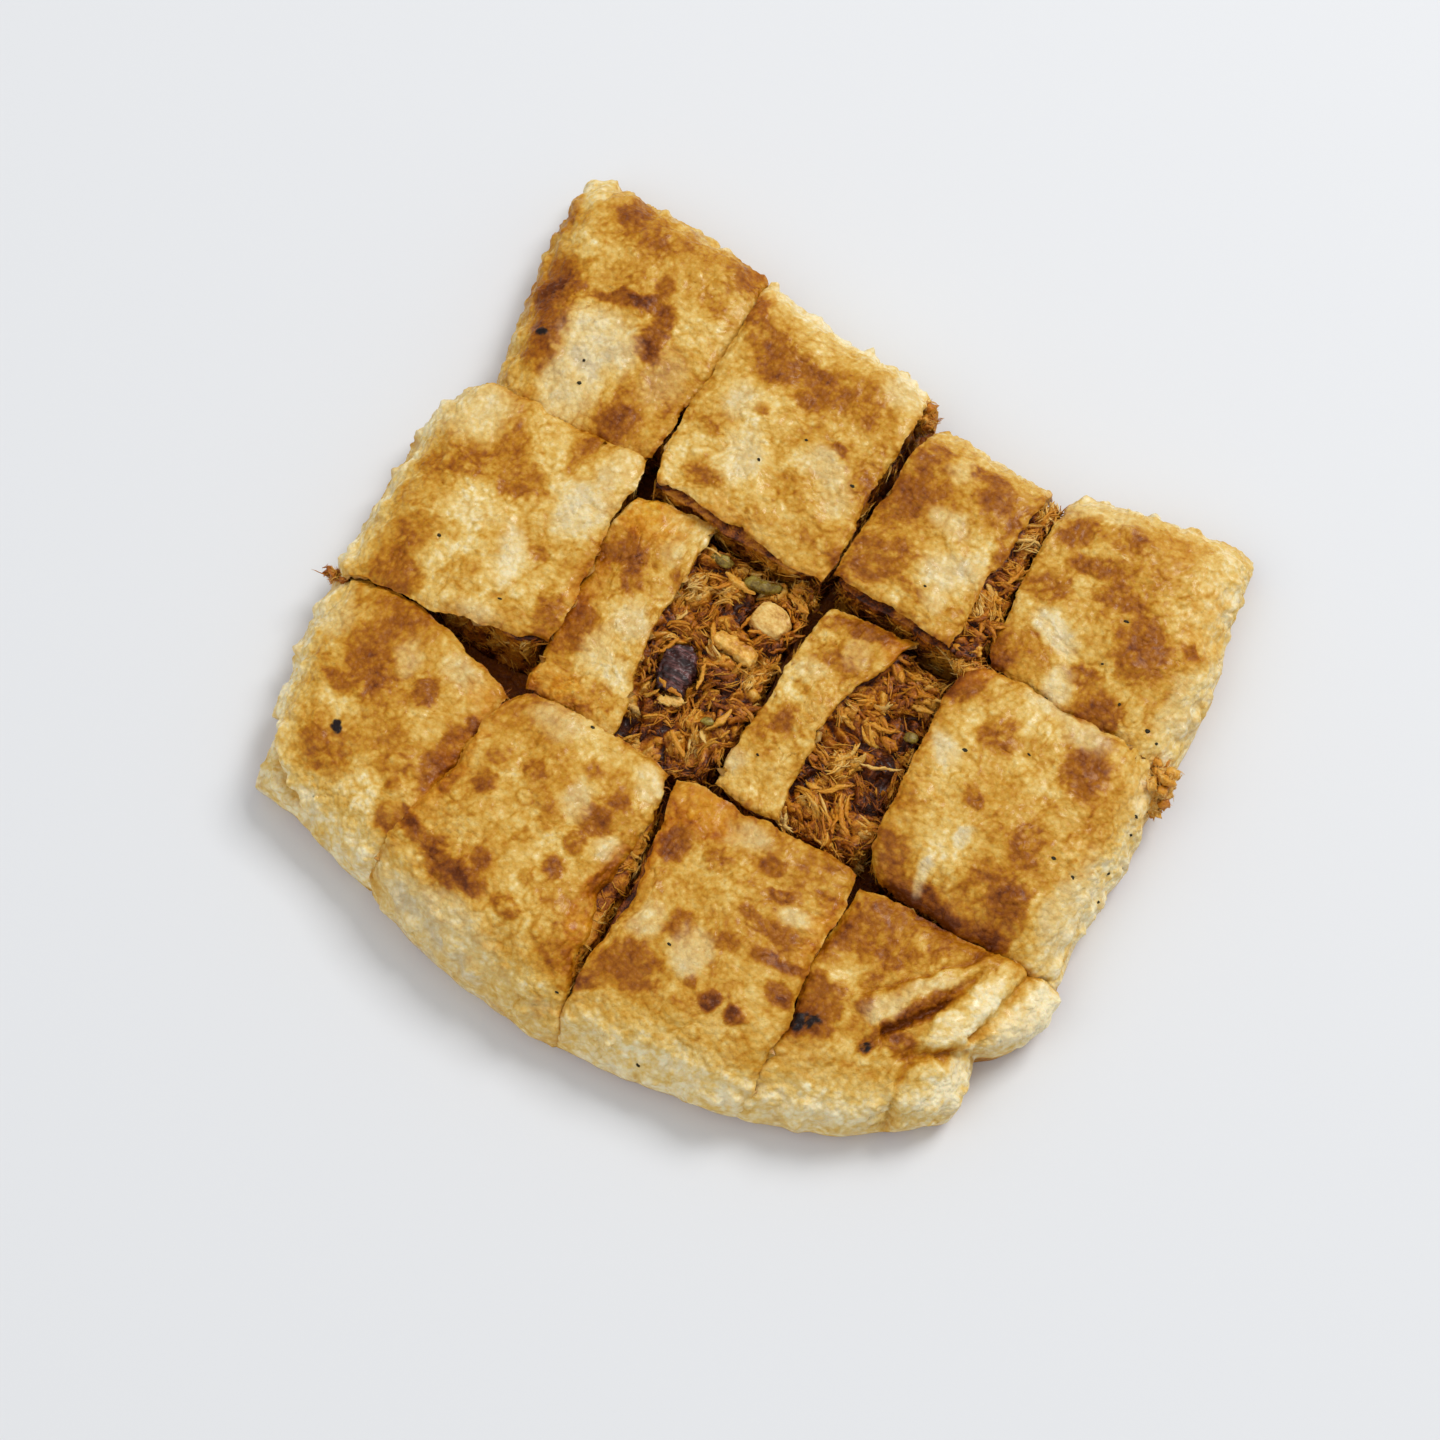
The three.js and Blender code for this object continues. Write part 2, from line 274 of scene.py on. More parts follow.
@dataclass(frozen=True)
class Cut:
    """The plan, height and looks of one slice, in loaf millimetres.

    corners are far left, far right, near right and near left, and rims the sides that the knife didn't make. swell is
    how much higher the middle is, and bulge how far a side bows out. Of three values, the first is for a side's near
    or left end and the second for its middle: shy_right is how far the right side is drawn back, lid the share of the
    width that a middle slice's lid covers, spread how far the dough's edge reaches past the plan, slump how far it
    sinks, and skirt and spill how far the under layer and the filling come out. base and rim_base are how brown the
    top and the rims are away from the marks. pulls move the outline: shares u and v, mm along X and Y, and the reach.
    """

    name: str
    corners: tuple[tuple[float, float], ...]
    rims: tuple[Side, ...]
    height: float
    swell: float
    bulge: dict[Side, float] = field(default_factory=dict)
    shy_right: Triple = (0.0, 0.0, 0.0)
    droop_near: float = 0.0
    lid: Triple | None = None
    spread: dict[Side, Triple] = field(default_factory=dict)
    slump: dict[Side, Triple] = field(default_factory=dict)
    skirt: dict[Side, Triple] = field(default_factory=dict)
    spill: dict[Side, Triple] = field(default_factory=dict)
    base: float = 0.38
    rim_base: float = 0.22
    marks: tuple[Mark, ...] = ()
    creases: tuple[Crease, ...] = ()
    specks: tuple[tuple[float, float], ...] = ()
    pulls: tuple[tuple[float, ...], ...] = ()

    @property
    def cut_sides(self) -> list[Side]:
        """The sides that the knife made."""
        return [side for side in Side if side not in self.rims]

    @property
    def width(self) -> float:
        """Mean distance between the left and right sides."""
        far_left, far_right, near_right, near_left = map(Vector, self.corners)
        return ((far_right - far_left).length + (near_right - near_left).length) / 2

    @property
    def depth(self) -> float:
        """Mean distance between the near and far sides."""
        far_left, far_right, near_right, near_left = map(Vector, self.corners)
        return ((far_left - near_left).length + (far_right - near_right).length) / 2

    def reach(self, v: Array) -> Array:
        """How far across the slice the dough reaches.

        Args:
            v: shares of the depth.

        Returns:
            The share of the width that it covers.
        """
        if self.lid is None:
            return 1 - np.interp(v, (0, 0.5, 1), self.shy_right) / self.width
        near, middle, far = self.lid
        return near * (1 - v) * (1 - 2 * v) + middle * 4 * v * (1 - v) + far * v * (2 * v - 1)

    def shift(self, u: Array, v: Array, rounded: Any = 1.0) -> tuple[Array, Array]:
        """How far the pulls and the rounded corners move points.

        Args:
            u: shares of the width.
            v: shares of the depth.
            rounded: how much of the corners' rounding holds, from 0 to 1.

        Returns:
            The moves along X and Y in mm.
        """
        x, y = np.zeros(np.shape(u)), np.zeros(np.shape(v))
        middle = np.mean(self.corners, axis=0)
        rounds = [
            (*share, *(ROUND * unit(middle - corner)), ROUND_REACH, rounded)
            for (share, sides), corner in zip(MEETINGS, self.corners, strict=True)
            if not set(sides) & set(self.rims)
        ]
        for at_u, at_v, dx, dy, reach, part in (*((*pull, 1.0) for pull in self.pulls), *rounds):
            near = part * np.exp(-(((u - at_u) * self.width) ** 2 + ((v - at_v) * self.depth) ** 2) / reach**2)
            x, y = x + dx * near, y + dy * near
        return x, y

    def plan(self, u: Array, v: Array) -> tuple[Array, Array]:
        """Loaf X and Y of points at shares u and v."""
        (x, y), (dx, dy) = self.straight(u, v), self.shift(u, v)
        return x + dx, y + dy

    def straight(self, u: Array, v: Array) -> tuple[Array, Array]:
        """Places points before the outline is shifted, with the outer sides bowed out.

        Args:
            u: shares of the width.
            v: shares of the depth.

        Returns:
            Their loaf X and Y in mm.
        """
        (flx, fly), (frx, fry), (nrx, nry), (nlx, nly) = self.corners
        x = (nlx * (1 - u) + nrx * u) * (1 - v) + (flx * (1 - u) + frx * u) * v
        y = (nly * (1 - u) + nry * u) * (1 - v) + (fly * (1 - u) + fry * u) * v
        out = {side: self.bulge.get(side, 0.0) for side in Side}
        x = x + (out[RIGHT] * u - out[LEFT] * (1 - u)) * 4 * v * (1 - v)
        y = y + (out[FAR] * v - out[NEAR] * (1 - v)) * 4 * u * (1 - u)
        return x, y

    def locate(self, x: Array, y: Array) -> tuple[Array, Array]:
        """Finds the shares that straight places at given points.

        Args:
            x: loaf X in mm.
            y: loaf Y in mm.

        Returns:
            The shares of the width and of the depth.
        """
        u, v = np.full_like(x, 0.5), np.full_like(x, 0.5)
        tiny = 1e-4
        for _ in range(6):
            px, py = self.straight(u, v)
            ux, uy = self.straight(u + tiny, v)
            vx, vy = self.straight(u, v + tiny)
            a, b, c, d = (ux - px) / tiny, (vx - px) / tiny, (uy - py) / tiny, (vy - py) / tiny
            det = a * d - b * c
            ex, ey = x - px, y - py
            u = np.clip(u + (ex * d - ey * b) / det, -0.3, 1.3)
            v = np.clip(v + (ey * a - ex * c) / det, -0.3, 1.3)
        return u, v

    @staticmethod
    def at_side(values: dict[Side, Triple], side: Side, u: Array, v: Array) -> Array:
        """One of the four sets of a side's values, read off beside each point."""
        share = u if side in (NEAR, FAR) else v
        return np.interp(share, (0, 0.5, 1), values.get(side, (0, 0, 0)))

    def from_side(self, side: Side, u: Array, v: Array) -> Array:
        """Distance in mm from a side."""
        shares = {LEFT: u, RIGHT: 1 - u, NEAR: v, FAR: 1 - v}
        return shares[side] * (self.width if side in (LEFT, RIGHT) else self.depth)

    def sunk(self, side: Side, u: Array, v: Array, away: Array) -> Array:
        """How many mm the dough sinks at points that far from a cut side."""
        return self.at_side(self.slump, side, u, v) * np.clip(1 - away / SLUMP_RUN, 0, 1) ** 2

    def top(self, u: Array, v: Array) -> Array:
        """Height of the fried top away from its shoulders."""
        droop = self.droop_near * np.clip(1 - v * self.depth / DROOP_RUN, 0, 1) ** 2
        return self.height + self.swell * np.sin(np.pi * u) * np.sin(np.pi * v) - droop


CUTS: tuple[Cut, ...] = (
    Cut(
        "a1", ((-98, 105), (-43.5, 100), (-42.5, 43.5), (-88.5, 42.5)), (LEFT, FAR), 19, 1.6,
        bulge={FAR: 3, LEFT: 1.5}, base=0.42, rim_base=0.3,
        spread={RIGHT: (0.4, 1.1, 1.6), NEAR: (2.8, 2.6, 2)}, pulls=((0, 1, -1.8, 1.2, 5),),
        marks=(
            toast(0.3, 0.9, 4, 5, 0.35), toast(0.9, 0.92, 4, 6, 0.35), toast(0.62, 0.9, 3, 4, 0.18),
            toast(0.03, 0.97, 6, 8, -0.26), toast(0.47, 0.83, 8, 6, 0.2), toast(0.28, 0.75, 5, 5, 0.16),
            toast(0.04, 0.75, 3, 7, 0.35), toast(0.1, 0.47, 6, 9, 0.34), toast(0.2, 0.4, 6, 11, 0.4),
            toast(0.2, 0.17, 5, 5, 0.28), toast(0.47, 0.51, 7, 2.2, 0.5, 12), toast(0.62, 0.55, 5, 3, 0.5, 20),
            toast(0.71, 0.46, 3.2, 7, 0.55), toast(0.7, 0.355, 5, 2, 0.3, ring=0.3), toast(0.62, 0.65, 2.5, 4, 0.3),
            toast(0.85, 0.72, 3, 5, 0.14), toast(0.7, 0.2, 3, 3.4, 0.22, ring=0.4), toast(0.75, 0.07, 6, 4, 0.3),
            pale(0.47, 0.3, 10, 8, 0.8), pale(0.42, 0.12, 8, 7, 0.6), pale(0.85, 0.3, 5, 8, 0.25),
            char(0.2, 0.255, 1.4, 1.1, 0.9), stain(0.95, 0.93, 4, 5, 0.45),
        ),
        specks=((0.44, 0.21), (0.47, 0.13), (0.81, 0)),
    ),
    Cut(
        "a2", ((-41.5, 99.5), (7, 94), (6.8, 33.5), (-40.5, 35)), (FAR,), 21, 1.2, base=0.36, rim_base=0.04,
        spread={LEFT: (0.3, 1.1, 1.6), RIGHT: (1.4, 0.5, 0), NEAR: (-0.4, -2.2, 0.3)},
        marks=(
            toast(0.28, 0.71, 9, 6, 0.32), toast(0.62, 0.71, 9, 7, 0.28), toast(0.86, 0.68, 6, 6, 0.2),
            toast(0.46, 0.6, 3, 3, 0.25), toast(0.45, 0.74, 4, 1.6, 0.25), toast(0.05, 0.8, 4, 5, 0.35),
            toast(0.32, 0.48, 1.6, 2.2, 0.35), toast(0.73, 0.51, 3, 1.8, 0.42, dome=0.3),
            toast(0.15, 0.33, 2, 2.2, 0.32, dome=0.3), toast(0.52, 0.42, 1.8, 6, 0.26, 10),
            toast(0.62, 0.27, 6, 5, 0.2), toast(0.22, 0.13, 6, 4, 0.35), toast(0.97, 0.12, 2, 4, 0.3),
            toast(0.85, 0.13, 6, 3, 0.15), pale(0.22, 0.47, 4, 5, 0.5), pale(0.35, 0.28, 6, 7, 0.5),
            pale(0.72, 0.42, 7, 4, 0.5), pale(0.86, 0.35, 4, 5, 0.3), pale(0.85, 0.85, 6, 4, 0.4),
            stain(0.45, 0.06, 8, 3, 0.3), stain(0.03, 0.85, 4, 5, 0.5),
        ),
        specks=((0.57, 0.47), (0.89, 0.43), (0.44, 0.29)),
    ),
    Cut(
        "a3", ((12.5, 88.5), (45, 84.5), (47, 34.5), (8.7, 35)), (FAR,), 21, 0.8, shy_right=(6.5, 4.5, 3),
        base=0.42, rim_base=0.2, spread={LEFT: (1.4, 0.8, 0), NEAR: (-0.8, -1.8, 0.4)}, spill={RIGHT: (1.8, 1.4, 0.6)},
        marks=(
            toast(0.2, 0.2, 7, 7, 0.33), toast(0.12, 0.5, 4, 8, 0.24), toast(0.1, 0.76, 4, 5, 0.34),
            toast(0.5, 0.81, 5, 2.5, 0.4), toast(0.62, 0.7, 5, 5, 0.3), toast(0.45, 0.13, 4, 2, 0.35),
            toast(0.82, 0.6, 3, 10, 0.3), toast(0.3, 0.6, 4, 4, 0.1), pale(0.42, 0.5, 5, 3, 0.5),
            pale(0.55, 0.3, 6, 5, 0.55), pale(0.7, 0.38, 4, 4, 0.5), pale(0.6, 0.15, 3, 3, 0.4),
            pale(0.32, 0.75, 3, 4, 0.3), stain(0.88, 0.3, 2, 10, 0.4),
        ),
        specks=((0.52, 0.19),),
    ),
    Cut(
        "a4", ((46, 84.5), (89.5, 96), (99, 36.5), (48.5, 36.5)), (RIGHT, FAR), 19, 1.6,
        bulge={FAR: 4, RIGHT: 1}, base=0.4, rim_base=0.15, spread={LEFT: (0.9, 0.7, 0.7), NEAR: (1.6, 2, 2.2)},
        marks=(
            toast(0.15, 0.73, 5, 4, 0.4), toast(0.36, 0.77, 5, 3.5, 0.3), toast(0.27, 0.6, 6, 2.5, 0.48, 5),
            toast(0.42, 0.62, 4, 4, 0.25), toast(0.1, 0.46, 6, 5, 0.3), toast(0.45, 0.5, 6, 4, 0.25),
            toast(0.64, 0.32, 6, 8, 0.42), toast(0.55, 0.05, 6, 4, 0.45), toast(0.42, 0.15, 5, 2.5, 0.45),
            toast(0.05, 0.07, 4, 4, 0.3), toast(0.7, 0.7, 4, 6, 0.1), toast(0.82, 0.42, 2, 2, 0.3),
            pale(0.24, 0.27, 6, 3, 0.9, -25), pale(0.34, 0.08, 3, 5, 0.7), pale(0.2, 0.88, 10, 4, 0.3),
            pale(0.88, 0.2, 4, 8, 0.4), stain(0.62, 0.85, 5, 8, 0.3), stain(0.85, 0.55, 5, 12, 0.35),
        ),
        creases=(
            Crease(((0.1, 0.33), (0.25, 0.26), (0.4, 0.22), (0.5, 0.21)), 0.35, 0.5),
            Crease(((0.16, 0.22), (0.28, 0.12), (0.33, 0.02)), 0.3, 0.5),
        ),
        specks=((0.49, 0.22), (0.32, 0.01), (0.62, 0.11), (0.8, 0.07), (0.86, 0.05), (0.3, 0.97), (0.52, 0.4)),
    ),
    Cut(
        "b1", ((-98, 38), (-44.3, 41.5), (-41, -10.5), (-94.5, -15.5)), (LEFT,), 20, 1.4, base=0.36, rim_base=0.08,
        spread={FAR: (3.2, 2.6, 1.9), RIGHT: (1.6, 1.5, 1), NEAR: (2.8, 3.4, 0.4)},
        skirt={NEAR: (0, 0.5, 9)}, spill={NEAR: (0.5, 1.5, 5.5)}, pulls=((0, 1, 3.5, -2, 8),),
        marks=(
            toast(0.45, 0.8, 6, 5, 0.2), toast(0.58, 0.65, 6, 5, 0.28), toast(0.35, 0.65, 6, 5, 0.24),
            toast(0.73, 0.87, 2.5, 6, 0.4, -15), toast(0.2, 0.55, 6, 4, 0.2), toast(0.28, 0.22, 6, 5, 0.3),
            toast(0.42, 0.3, 3, 3, 0.2), toast(0.3, 0.06, 7, 4, 0.35), toast(0.55, 0.15, 5, 5, 0.2),
            toast(0.94, 0.14, 3, 5, 0.35), toast(0.8, 0.38, 2.5, 2.5, 0.3), pale(0.2, 0.86, 11, 7, 0.35),
            pale(0.85, 0.65, 7, 8, 0.6), pale(0.7, 0.32, 4, 7, 0.75, 20), pale(0.9, 0.85, 3, 5, 0.4),
            pale(0.45, 0.42, 8, 3, 0.2), pale(0.7, 0.03, 5, 3, 0.4), stain(0.98, 0.3, 2, 8, 0.5),
            toast(0.02, 0.62, 1.8, 6, 0.26), toast(0, 0.38, 1.5, 7, 0.26),
        ),
        creases=(Crease(((0.72, 0.1), (0.78, 0.2), (0.83, 0.32), (0.84, 0.42)), 0.3, 0.6),),
        specks=((0.87, 0.99), (0.375, 0.24), (0.75, 0.12)),
    ),
    Cut(
        "b2", ((-42.5, 33.3), (7, 31.5), (8, -21), (-38.5, -23)), (), 17, 0.6, lid=(0.49, 0.43, 0.44), base=0.34,
        spread={LEFT: (1.7, 1.6, 1), NEAR: (-0.8, -1.2, 0), FAR: (1, 1.4, 3.4)}, spill={RIGHT: (0.8, 0.2, -1.2)},
        marks=(
            stain(0.12, 0.92, 9, 7, 1.1), toast(0.1, 0.75, 6, 5, 0.42), stain(0.02, 0.5, 3, 14, 0.7),
            toast(0.2, 0.66, 3, 3, 0.2), pale(0.3, 0.85, 3, 3, 0.3), pale(0.3, 0.5, 6, 5, 0.5),
            pale(0.2, 0.32, 4, 6, 0.35), toast(0.05, 0.35, 5, 8, 0.48), stain(0.12, 0.08, 8, 5, 1.1),
            toast(0.12, 0.09, 5, 4, -0.24), toast(0.34, 0.14, 4, 4, 0.28), toast(0.25, 0.04, 5, 2, 0.3),
            pale(0.33, 0.27, 3, 4, 0.4), toast(0.38, 0.78, 2, 4, 0.2),
        ),
    ),
    Cut(
        "b3", ((10.5, 31.8), (44, 31), (46.5, -20.5), (9.5, -21)), (), 17.5, 0.6, lid=(0.49, 0.43, 0.66), base=0.34,
        spread={LEFT: (0.6, 0.3, -0.2), NEAR: (0.8, 0.6, 0.3), FAR: (0.4, 1.2, 3.4)}, spill={RIGHT: (2.4, 1.4, 0.6)},
        marks=(
            toast(0.32, 0.96, 7, 2.4, 0.42), toast(0.1, 0.93, 4, 2.5, 0.3), toast(0.2, 0.8, 5, 3, 0.14),
            pale(0.15, 0.7, 4, 3, 0.3), pale(0.35, 0.85, 3, 4, 0.3), toast(0.2, 0.6, 3, 2, 0.2),
            toast(0.17, 0.44, 3.5, 3.5, 0.38), pale(0.05, 0.15, 3, 3, 0.4), toast(0.35, 0.15, 3, 6, 0.15),
            stain(0.59, 0.95, 5, 4, 0.9), stain(0.35, 0.6, 3, 8, 0.2),
        ),
        specks=((0.15, 0.22),),
    ),
    Cut(
        "b4", ((44.8, 32), (98, 33), (98.5, -23), (49.3, -20)), (RIGHT,), 20.5, 1.8, droop_near=4.5, base=0.4,
        rim_base=0.11, spread={LEFT: (1, 0.7, 0.4), FAR: (3.2, 3, 2.8), NEAR: (1.2, 2.2, 1.8)},
        marks=(
            toast(0.27, 0.77, 5, 5, 0.42), toast(0.1, 0.88, 5, 3, 0.2), toast(0.66, 0.8, 5, 5, 0.38),
            toast(0.72, 0.9, 2.5, 4, 0.3), toast(0.45, 0.8, 4, 4, 0.15), toast(0.28, 0.48, 3, 3, 0.3),
            toast(0.62, 0.42, 4, 5, 0.3), toast(0.55, 0.2, 8, 6, 0.33), toast(0.1, 0.1, 6, 6, 0.3),
            toast(0.68, 0.14, 4, 7, 0.4), toast(0.35, 0.04, 9, 3.4, 0.55), toast(0.57, 0.03, 8, 3.4, 0.55),
            toast(0.2, 0.02, 5, 2, 0.45), pale(0.1, 0.62, 3, 5, 0.8, 30), pale(0.34, 0.33, 2, 3, 0.7),
            pale(0.25, 0.12, 1.6, 4, 0.8), pale(0.62, 0.93, 6, 3, 0.5), pale(0.42, 0.97, 6, 2, 0.6),
            pale(0.88, 0.3, 4, 14, 0.5), stain(0.8, 0.6, 4, 12, 0.25), stain(0.04, 0.97, 6, 4, 0.8),
            stain(0.94, 0.84, 6, 5, 0.35),
        ),
        specks=(
            (0.425, 0.775), (0.72, 0.42), (0.835, 0.4), (0.17, 0.645), (0.96, 0.73), (0.985, 0.6), (0.95, 0.52),
            (0.97, 0.4), (0.93, 0.8),
        ),
    ),
    Cut(
        "c1", ((-94, -19), (-41, -23.8), (-47.2, -77), (-79.5, -67.5)), (LEFT, NEAR), 19, 1.2,
        bulge={LEFT: 2.5}, base=0.41, rim_base=0.08, spread={FAR: (2.6, 5.6, 0.8), RIGHT: (2.4, 1.5, 1.5)},
        skirt={FAR: (0, 0.5, 6)}, spill={FAR: (0, 0.5, 2.5)}, pulls=((0, 0, -3, -1.6, 9),),
        marks=(
            toast(0.33, 0.78, 4, 6, 0.25), toast(0.4, 0.95, 6, 3, 0.25), toast(0.3, 0.57, 4, 3, 0.4),
            toast(0.42, 0.68, 5, 5, 0.28), toast(0.72, 0.77, 3, 3.5, 0.45, dome=0.4), toast(0.4, 0.32, 7, 6, 0.34),
            toast(0.82, 0.37, 2, 1.8, 0.4, dome=0.3), toast(0.9, 0.25, 4, 3, 0.4), toast(0.97, 0.32, 3, 1.5, 0.5),
            toast(0.93, 0.6, 2.5, 10, 0.4), toast(0.96, 0.78, 2.5, 3, 0.45), pale(0.55, 0.85, 3, 3, 0.4),
            pale(0.8, 0.92, 5, 3, 0.4), pale(0.15, 0.82, 4, 5, 0.3), char(0.415, 0.415, 1.5, 1.4, 1),
            stain(0.92, 0.9, 4, 4, 0.6), stain(0.98, 0.6, 3, 14, 0.8),
        ),
        creases=(
            Crease(((-0.02, 0.3), (0.08, 0.23), (0.13, 0.13), (0.22, 0.06), (0.4, 0.03)), 2.6, 1, 3),
            Crease(((0, 0.62), (0.08, 0.46), (0.12, 0.3)), 0.35, 1.2),
        ),
        specks=((0.95, 0.05), (0.05, 0.26)),
    ),
    Cut(
        "c2", ((-39, -25), (1, -24), (7.2, -87.5), (-46, -77.5)), (NEAR,), 21, 2.8, bulge={NEAR: 3},
        base=0.39, rim_base=0.23, spread={LEFT: (2.2, 1.5, 1.6), FAR: (3.6, 3.8, 2.2), RIGHT: (2.4, -1.2, 1)},
        slump={RIGHT: (0.5, 3, 1)}, spill={RIGHT: (0.5, 5.6, 0.5)},
        skirt={RIGHT: (0, 4.4, 0), LEFT: (0, 0, 3), FAR: (3, 0, 0)},
        marks=(
            toast(0.18, 0.6, 3, 3.2, 0.45, dome=0.45), toast(0.06, 0.52, 2, 4, 0.3), toast(0.18, 0.72, 3, 3, 0.2),
            toast(0.6, 0.87, 3, 2, 0.25), toast(0.35, 0.75, 2.5, 2, 0.2), toast(0.74, 0.7, 4, 4, 0.38),
            toast(0.73, 0.6, 2.5, 3, 0.45, dome=0.4), toast(0.7, 0.48, 3, 2.5, 0.45, dome=0.4),
            toast(0.8, 0.82, 3, 2, 0.3), toast(0.55, 0.62, 3, 3, 0.25),
            toast(0.6, 0.28, 3.4, 2.6, 0.45, dome=0.5, ring=0.3), toast(0.14, 0.3, 5, 3, 0.46),
            toast(0.3, 0.26, 6, 3, 0.46), toast(0.42, 0.27, 4, 2.5, 0.4), toast(0.4, 0.37, 3, 3, 0.3),
            toast(0.9, 0.25, 5, 5, 0.35), toast(0.96, 0.55, 3, 8, 0.3), toast(0.61, 0.4, 1.6, 1.6, 0.35, dome=0.3),
            toast(0.03, 0.3, 3, 2, 0.35), pale(0.62, 0.75, 4, 5, 0.45), pale(0.88, 0.64, 4, 3, 0.7),
            pale(0.3, 0.94, 8, 3, 0.4), pale(0.9, 0.92, 4, 3, 0.4), stain(0.95, 0.45, 3.4, 15, 0.9),
            pale(0.35, 0.08, 15, 6, 0.6), stain(0.02, 0.6, 3, 16, 0.7),
        ),
        specks=((0.93, 0.14), (0.46, 0.98)),
    ),
    Cut(
        "c3", ((2.2, -23.8), (47.5, -22.5), (51, -80), (8.5, -87)), (NEAR,), 20, 1.2, bulge={NEAR: 1.5},
        base=0.41, rim_base=0.08, skirt={LEFT: (0, -4, 0)}, spill={LEFT: (0, -4.4, 0)},
        spread={LEFT: (2.2, -3.6, 0.6), FAR: (1.8, 1.2, 1.2), RIGHT: (2.4, 1.6, 1.6)},
        marks=(
            stain(0.18, 0.92, 9, 5, 1.2), stain(0.02, 0.75, 3, 9, 0.9), toast(0.2, 0.93, 5, 3, -0.16),
            toast(0.12, 0.78, 4, 4, 0.5), toast(0.36, 0.8, 3.2, 3.2, 0.32, dome=0.5),
            toast(0.74, 0.78, 2.8, 1.8, 0.42, dome=0.45, ring=0.5), toast(0.65, 0.86, 2.5, 2.2, 0.3, ring=0.5),
            toast(0.92, 0.83, 2, 2, 0.3, ring=0.4), toast(0.35, 0.52, 4, 3.5, 0.34, dome=0.6),
            toast(0.66, 0.67, 3, 1.6, 0.3), toast(0.8, 0.64, 5, 2.5, 0.33), toast(0.87, 0.54, 6, 1.6, 0.45),
            toast(0.92, 0.44, 3, 2.5, 0.45), toast(0.64, 0.32, 2.8, 2.2, 0.8, dome=0.4),
            toast(0.79, 0.3, 2.4, 2, 0.75, dome=0.4), toast(0.52, 0.36, 1.6, 1.6, 0.42, dome=0.3, ring=0.4),
            toast(0.2, 0.3, 9, 6, 0.45), toast(0.05, 0.2, 3, 2, 0.45), toast(0.45, 0.25, 8, 3, 0.15),
            toast(0.6, 0.53, 4, 2, 0.3), pale(0.45, 0.45, 5, 5, 0.6), pale(0.85, 0.72, 4, 2, 0.6),
            pale(0.45, 0.93, 6, 3, 0.5), pale(0.18, 0.48, 4, 4, 0.5), stain(0.97, 0.72, 3, 10, 0.8),
        ),
        specks=((0.345, 0.44), (0.44, 0.035)),
    ),
    Cut(
        "c4", ((50.3, -24.5), (100, -25.5), (91, -59), (52.2, -80)), (RIGHT, NEAR), 18, 1,
        bulge={RIGHT: -1, NEAR: 4}, base=0.42, rim_base=0.13, spread={LEFT: (2.4, 1.5, 1.6), FAR: (1.4, 2.8, 2)},
        marks=(
            toast(0.3, 0.88, 15, 7, 0.37, 14), toast(0.05, 0.72, 3, 6, 0.42), toast(0.1, 0.52, 6, 4, 0.45),
            toast(0.08, 0.4, 6, 3, 0.5), toast(0.3, 0.56, 2.2, 2, 0.42, dome=0.3), toast(0.4, 0.39, 2.2, 2.2, 0.5),
            toast(0.57, 0.62, 3, 8, 0.55, -38), toast(0.48, 0.46, 4, 3, 0.35), toast(0.58, 0.42, 3, 3, 0.35),
            toast(0.25, 0.66, 3, 3, 0.2), pale(0.4, 0.57, 5, 3, 0.6, 30), pale(0.53, 0.74, 7, 2, 0.4, 38),
            char(0.07, 0.405, 4, 1.9, 0.95), char(0.4, 0.385, 1.6, 1.4, 0.75),
            toast(0.76, 0.66, 5.5, 13, -0.42, -6, 1.9), toast(0.94, 0.8, 4, 9, -0.3, 0, 1.6),
            toast(0.8, 0.22, 8, 6, -0.25, 0, 1.7), toast(0.35, 0.12, 9, 6, -0.1, 0, 0.8),
            toast(0.6, 0.12, 5, 5, -0.1, 0, 0.7), stain(0.9, 0.6, 3, 12, 0.25),
        ),
        creases=(
            Crease(((0.28, 0.6), (0.38, 0.69), (0.51, 0.81), (0.66, 1.02)), 0.8, 0.9, -0.9),
            Crease(((0.46, 0.46), (0.54, 0.55), (0.63, 0.71), (0.67, 0.86)), 1.6, 1.3, 0.8),
            Crease(((0.84, 1.02), (0.86, 0.75), (0.87, 0.56)), 2.2, 1.5),
            Crease(((0.64, 0.36), (0.78, 0.38), (0.92, 0.4)), 2, 1.7),
            Crease(((0.66, 0.3), (0.7, 0.14), (0.72, 0.02)), 1.5, 1.3),
        ),
        pulls=((1, 0.42, -3.6, 1.2, 5), (1, 0.86, 1.6, 0.4, 5), (0.95, 0.1, 1, -1, 6)),
    ),
)


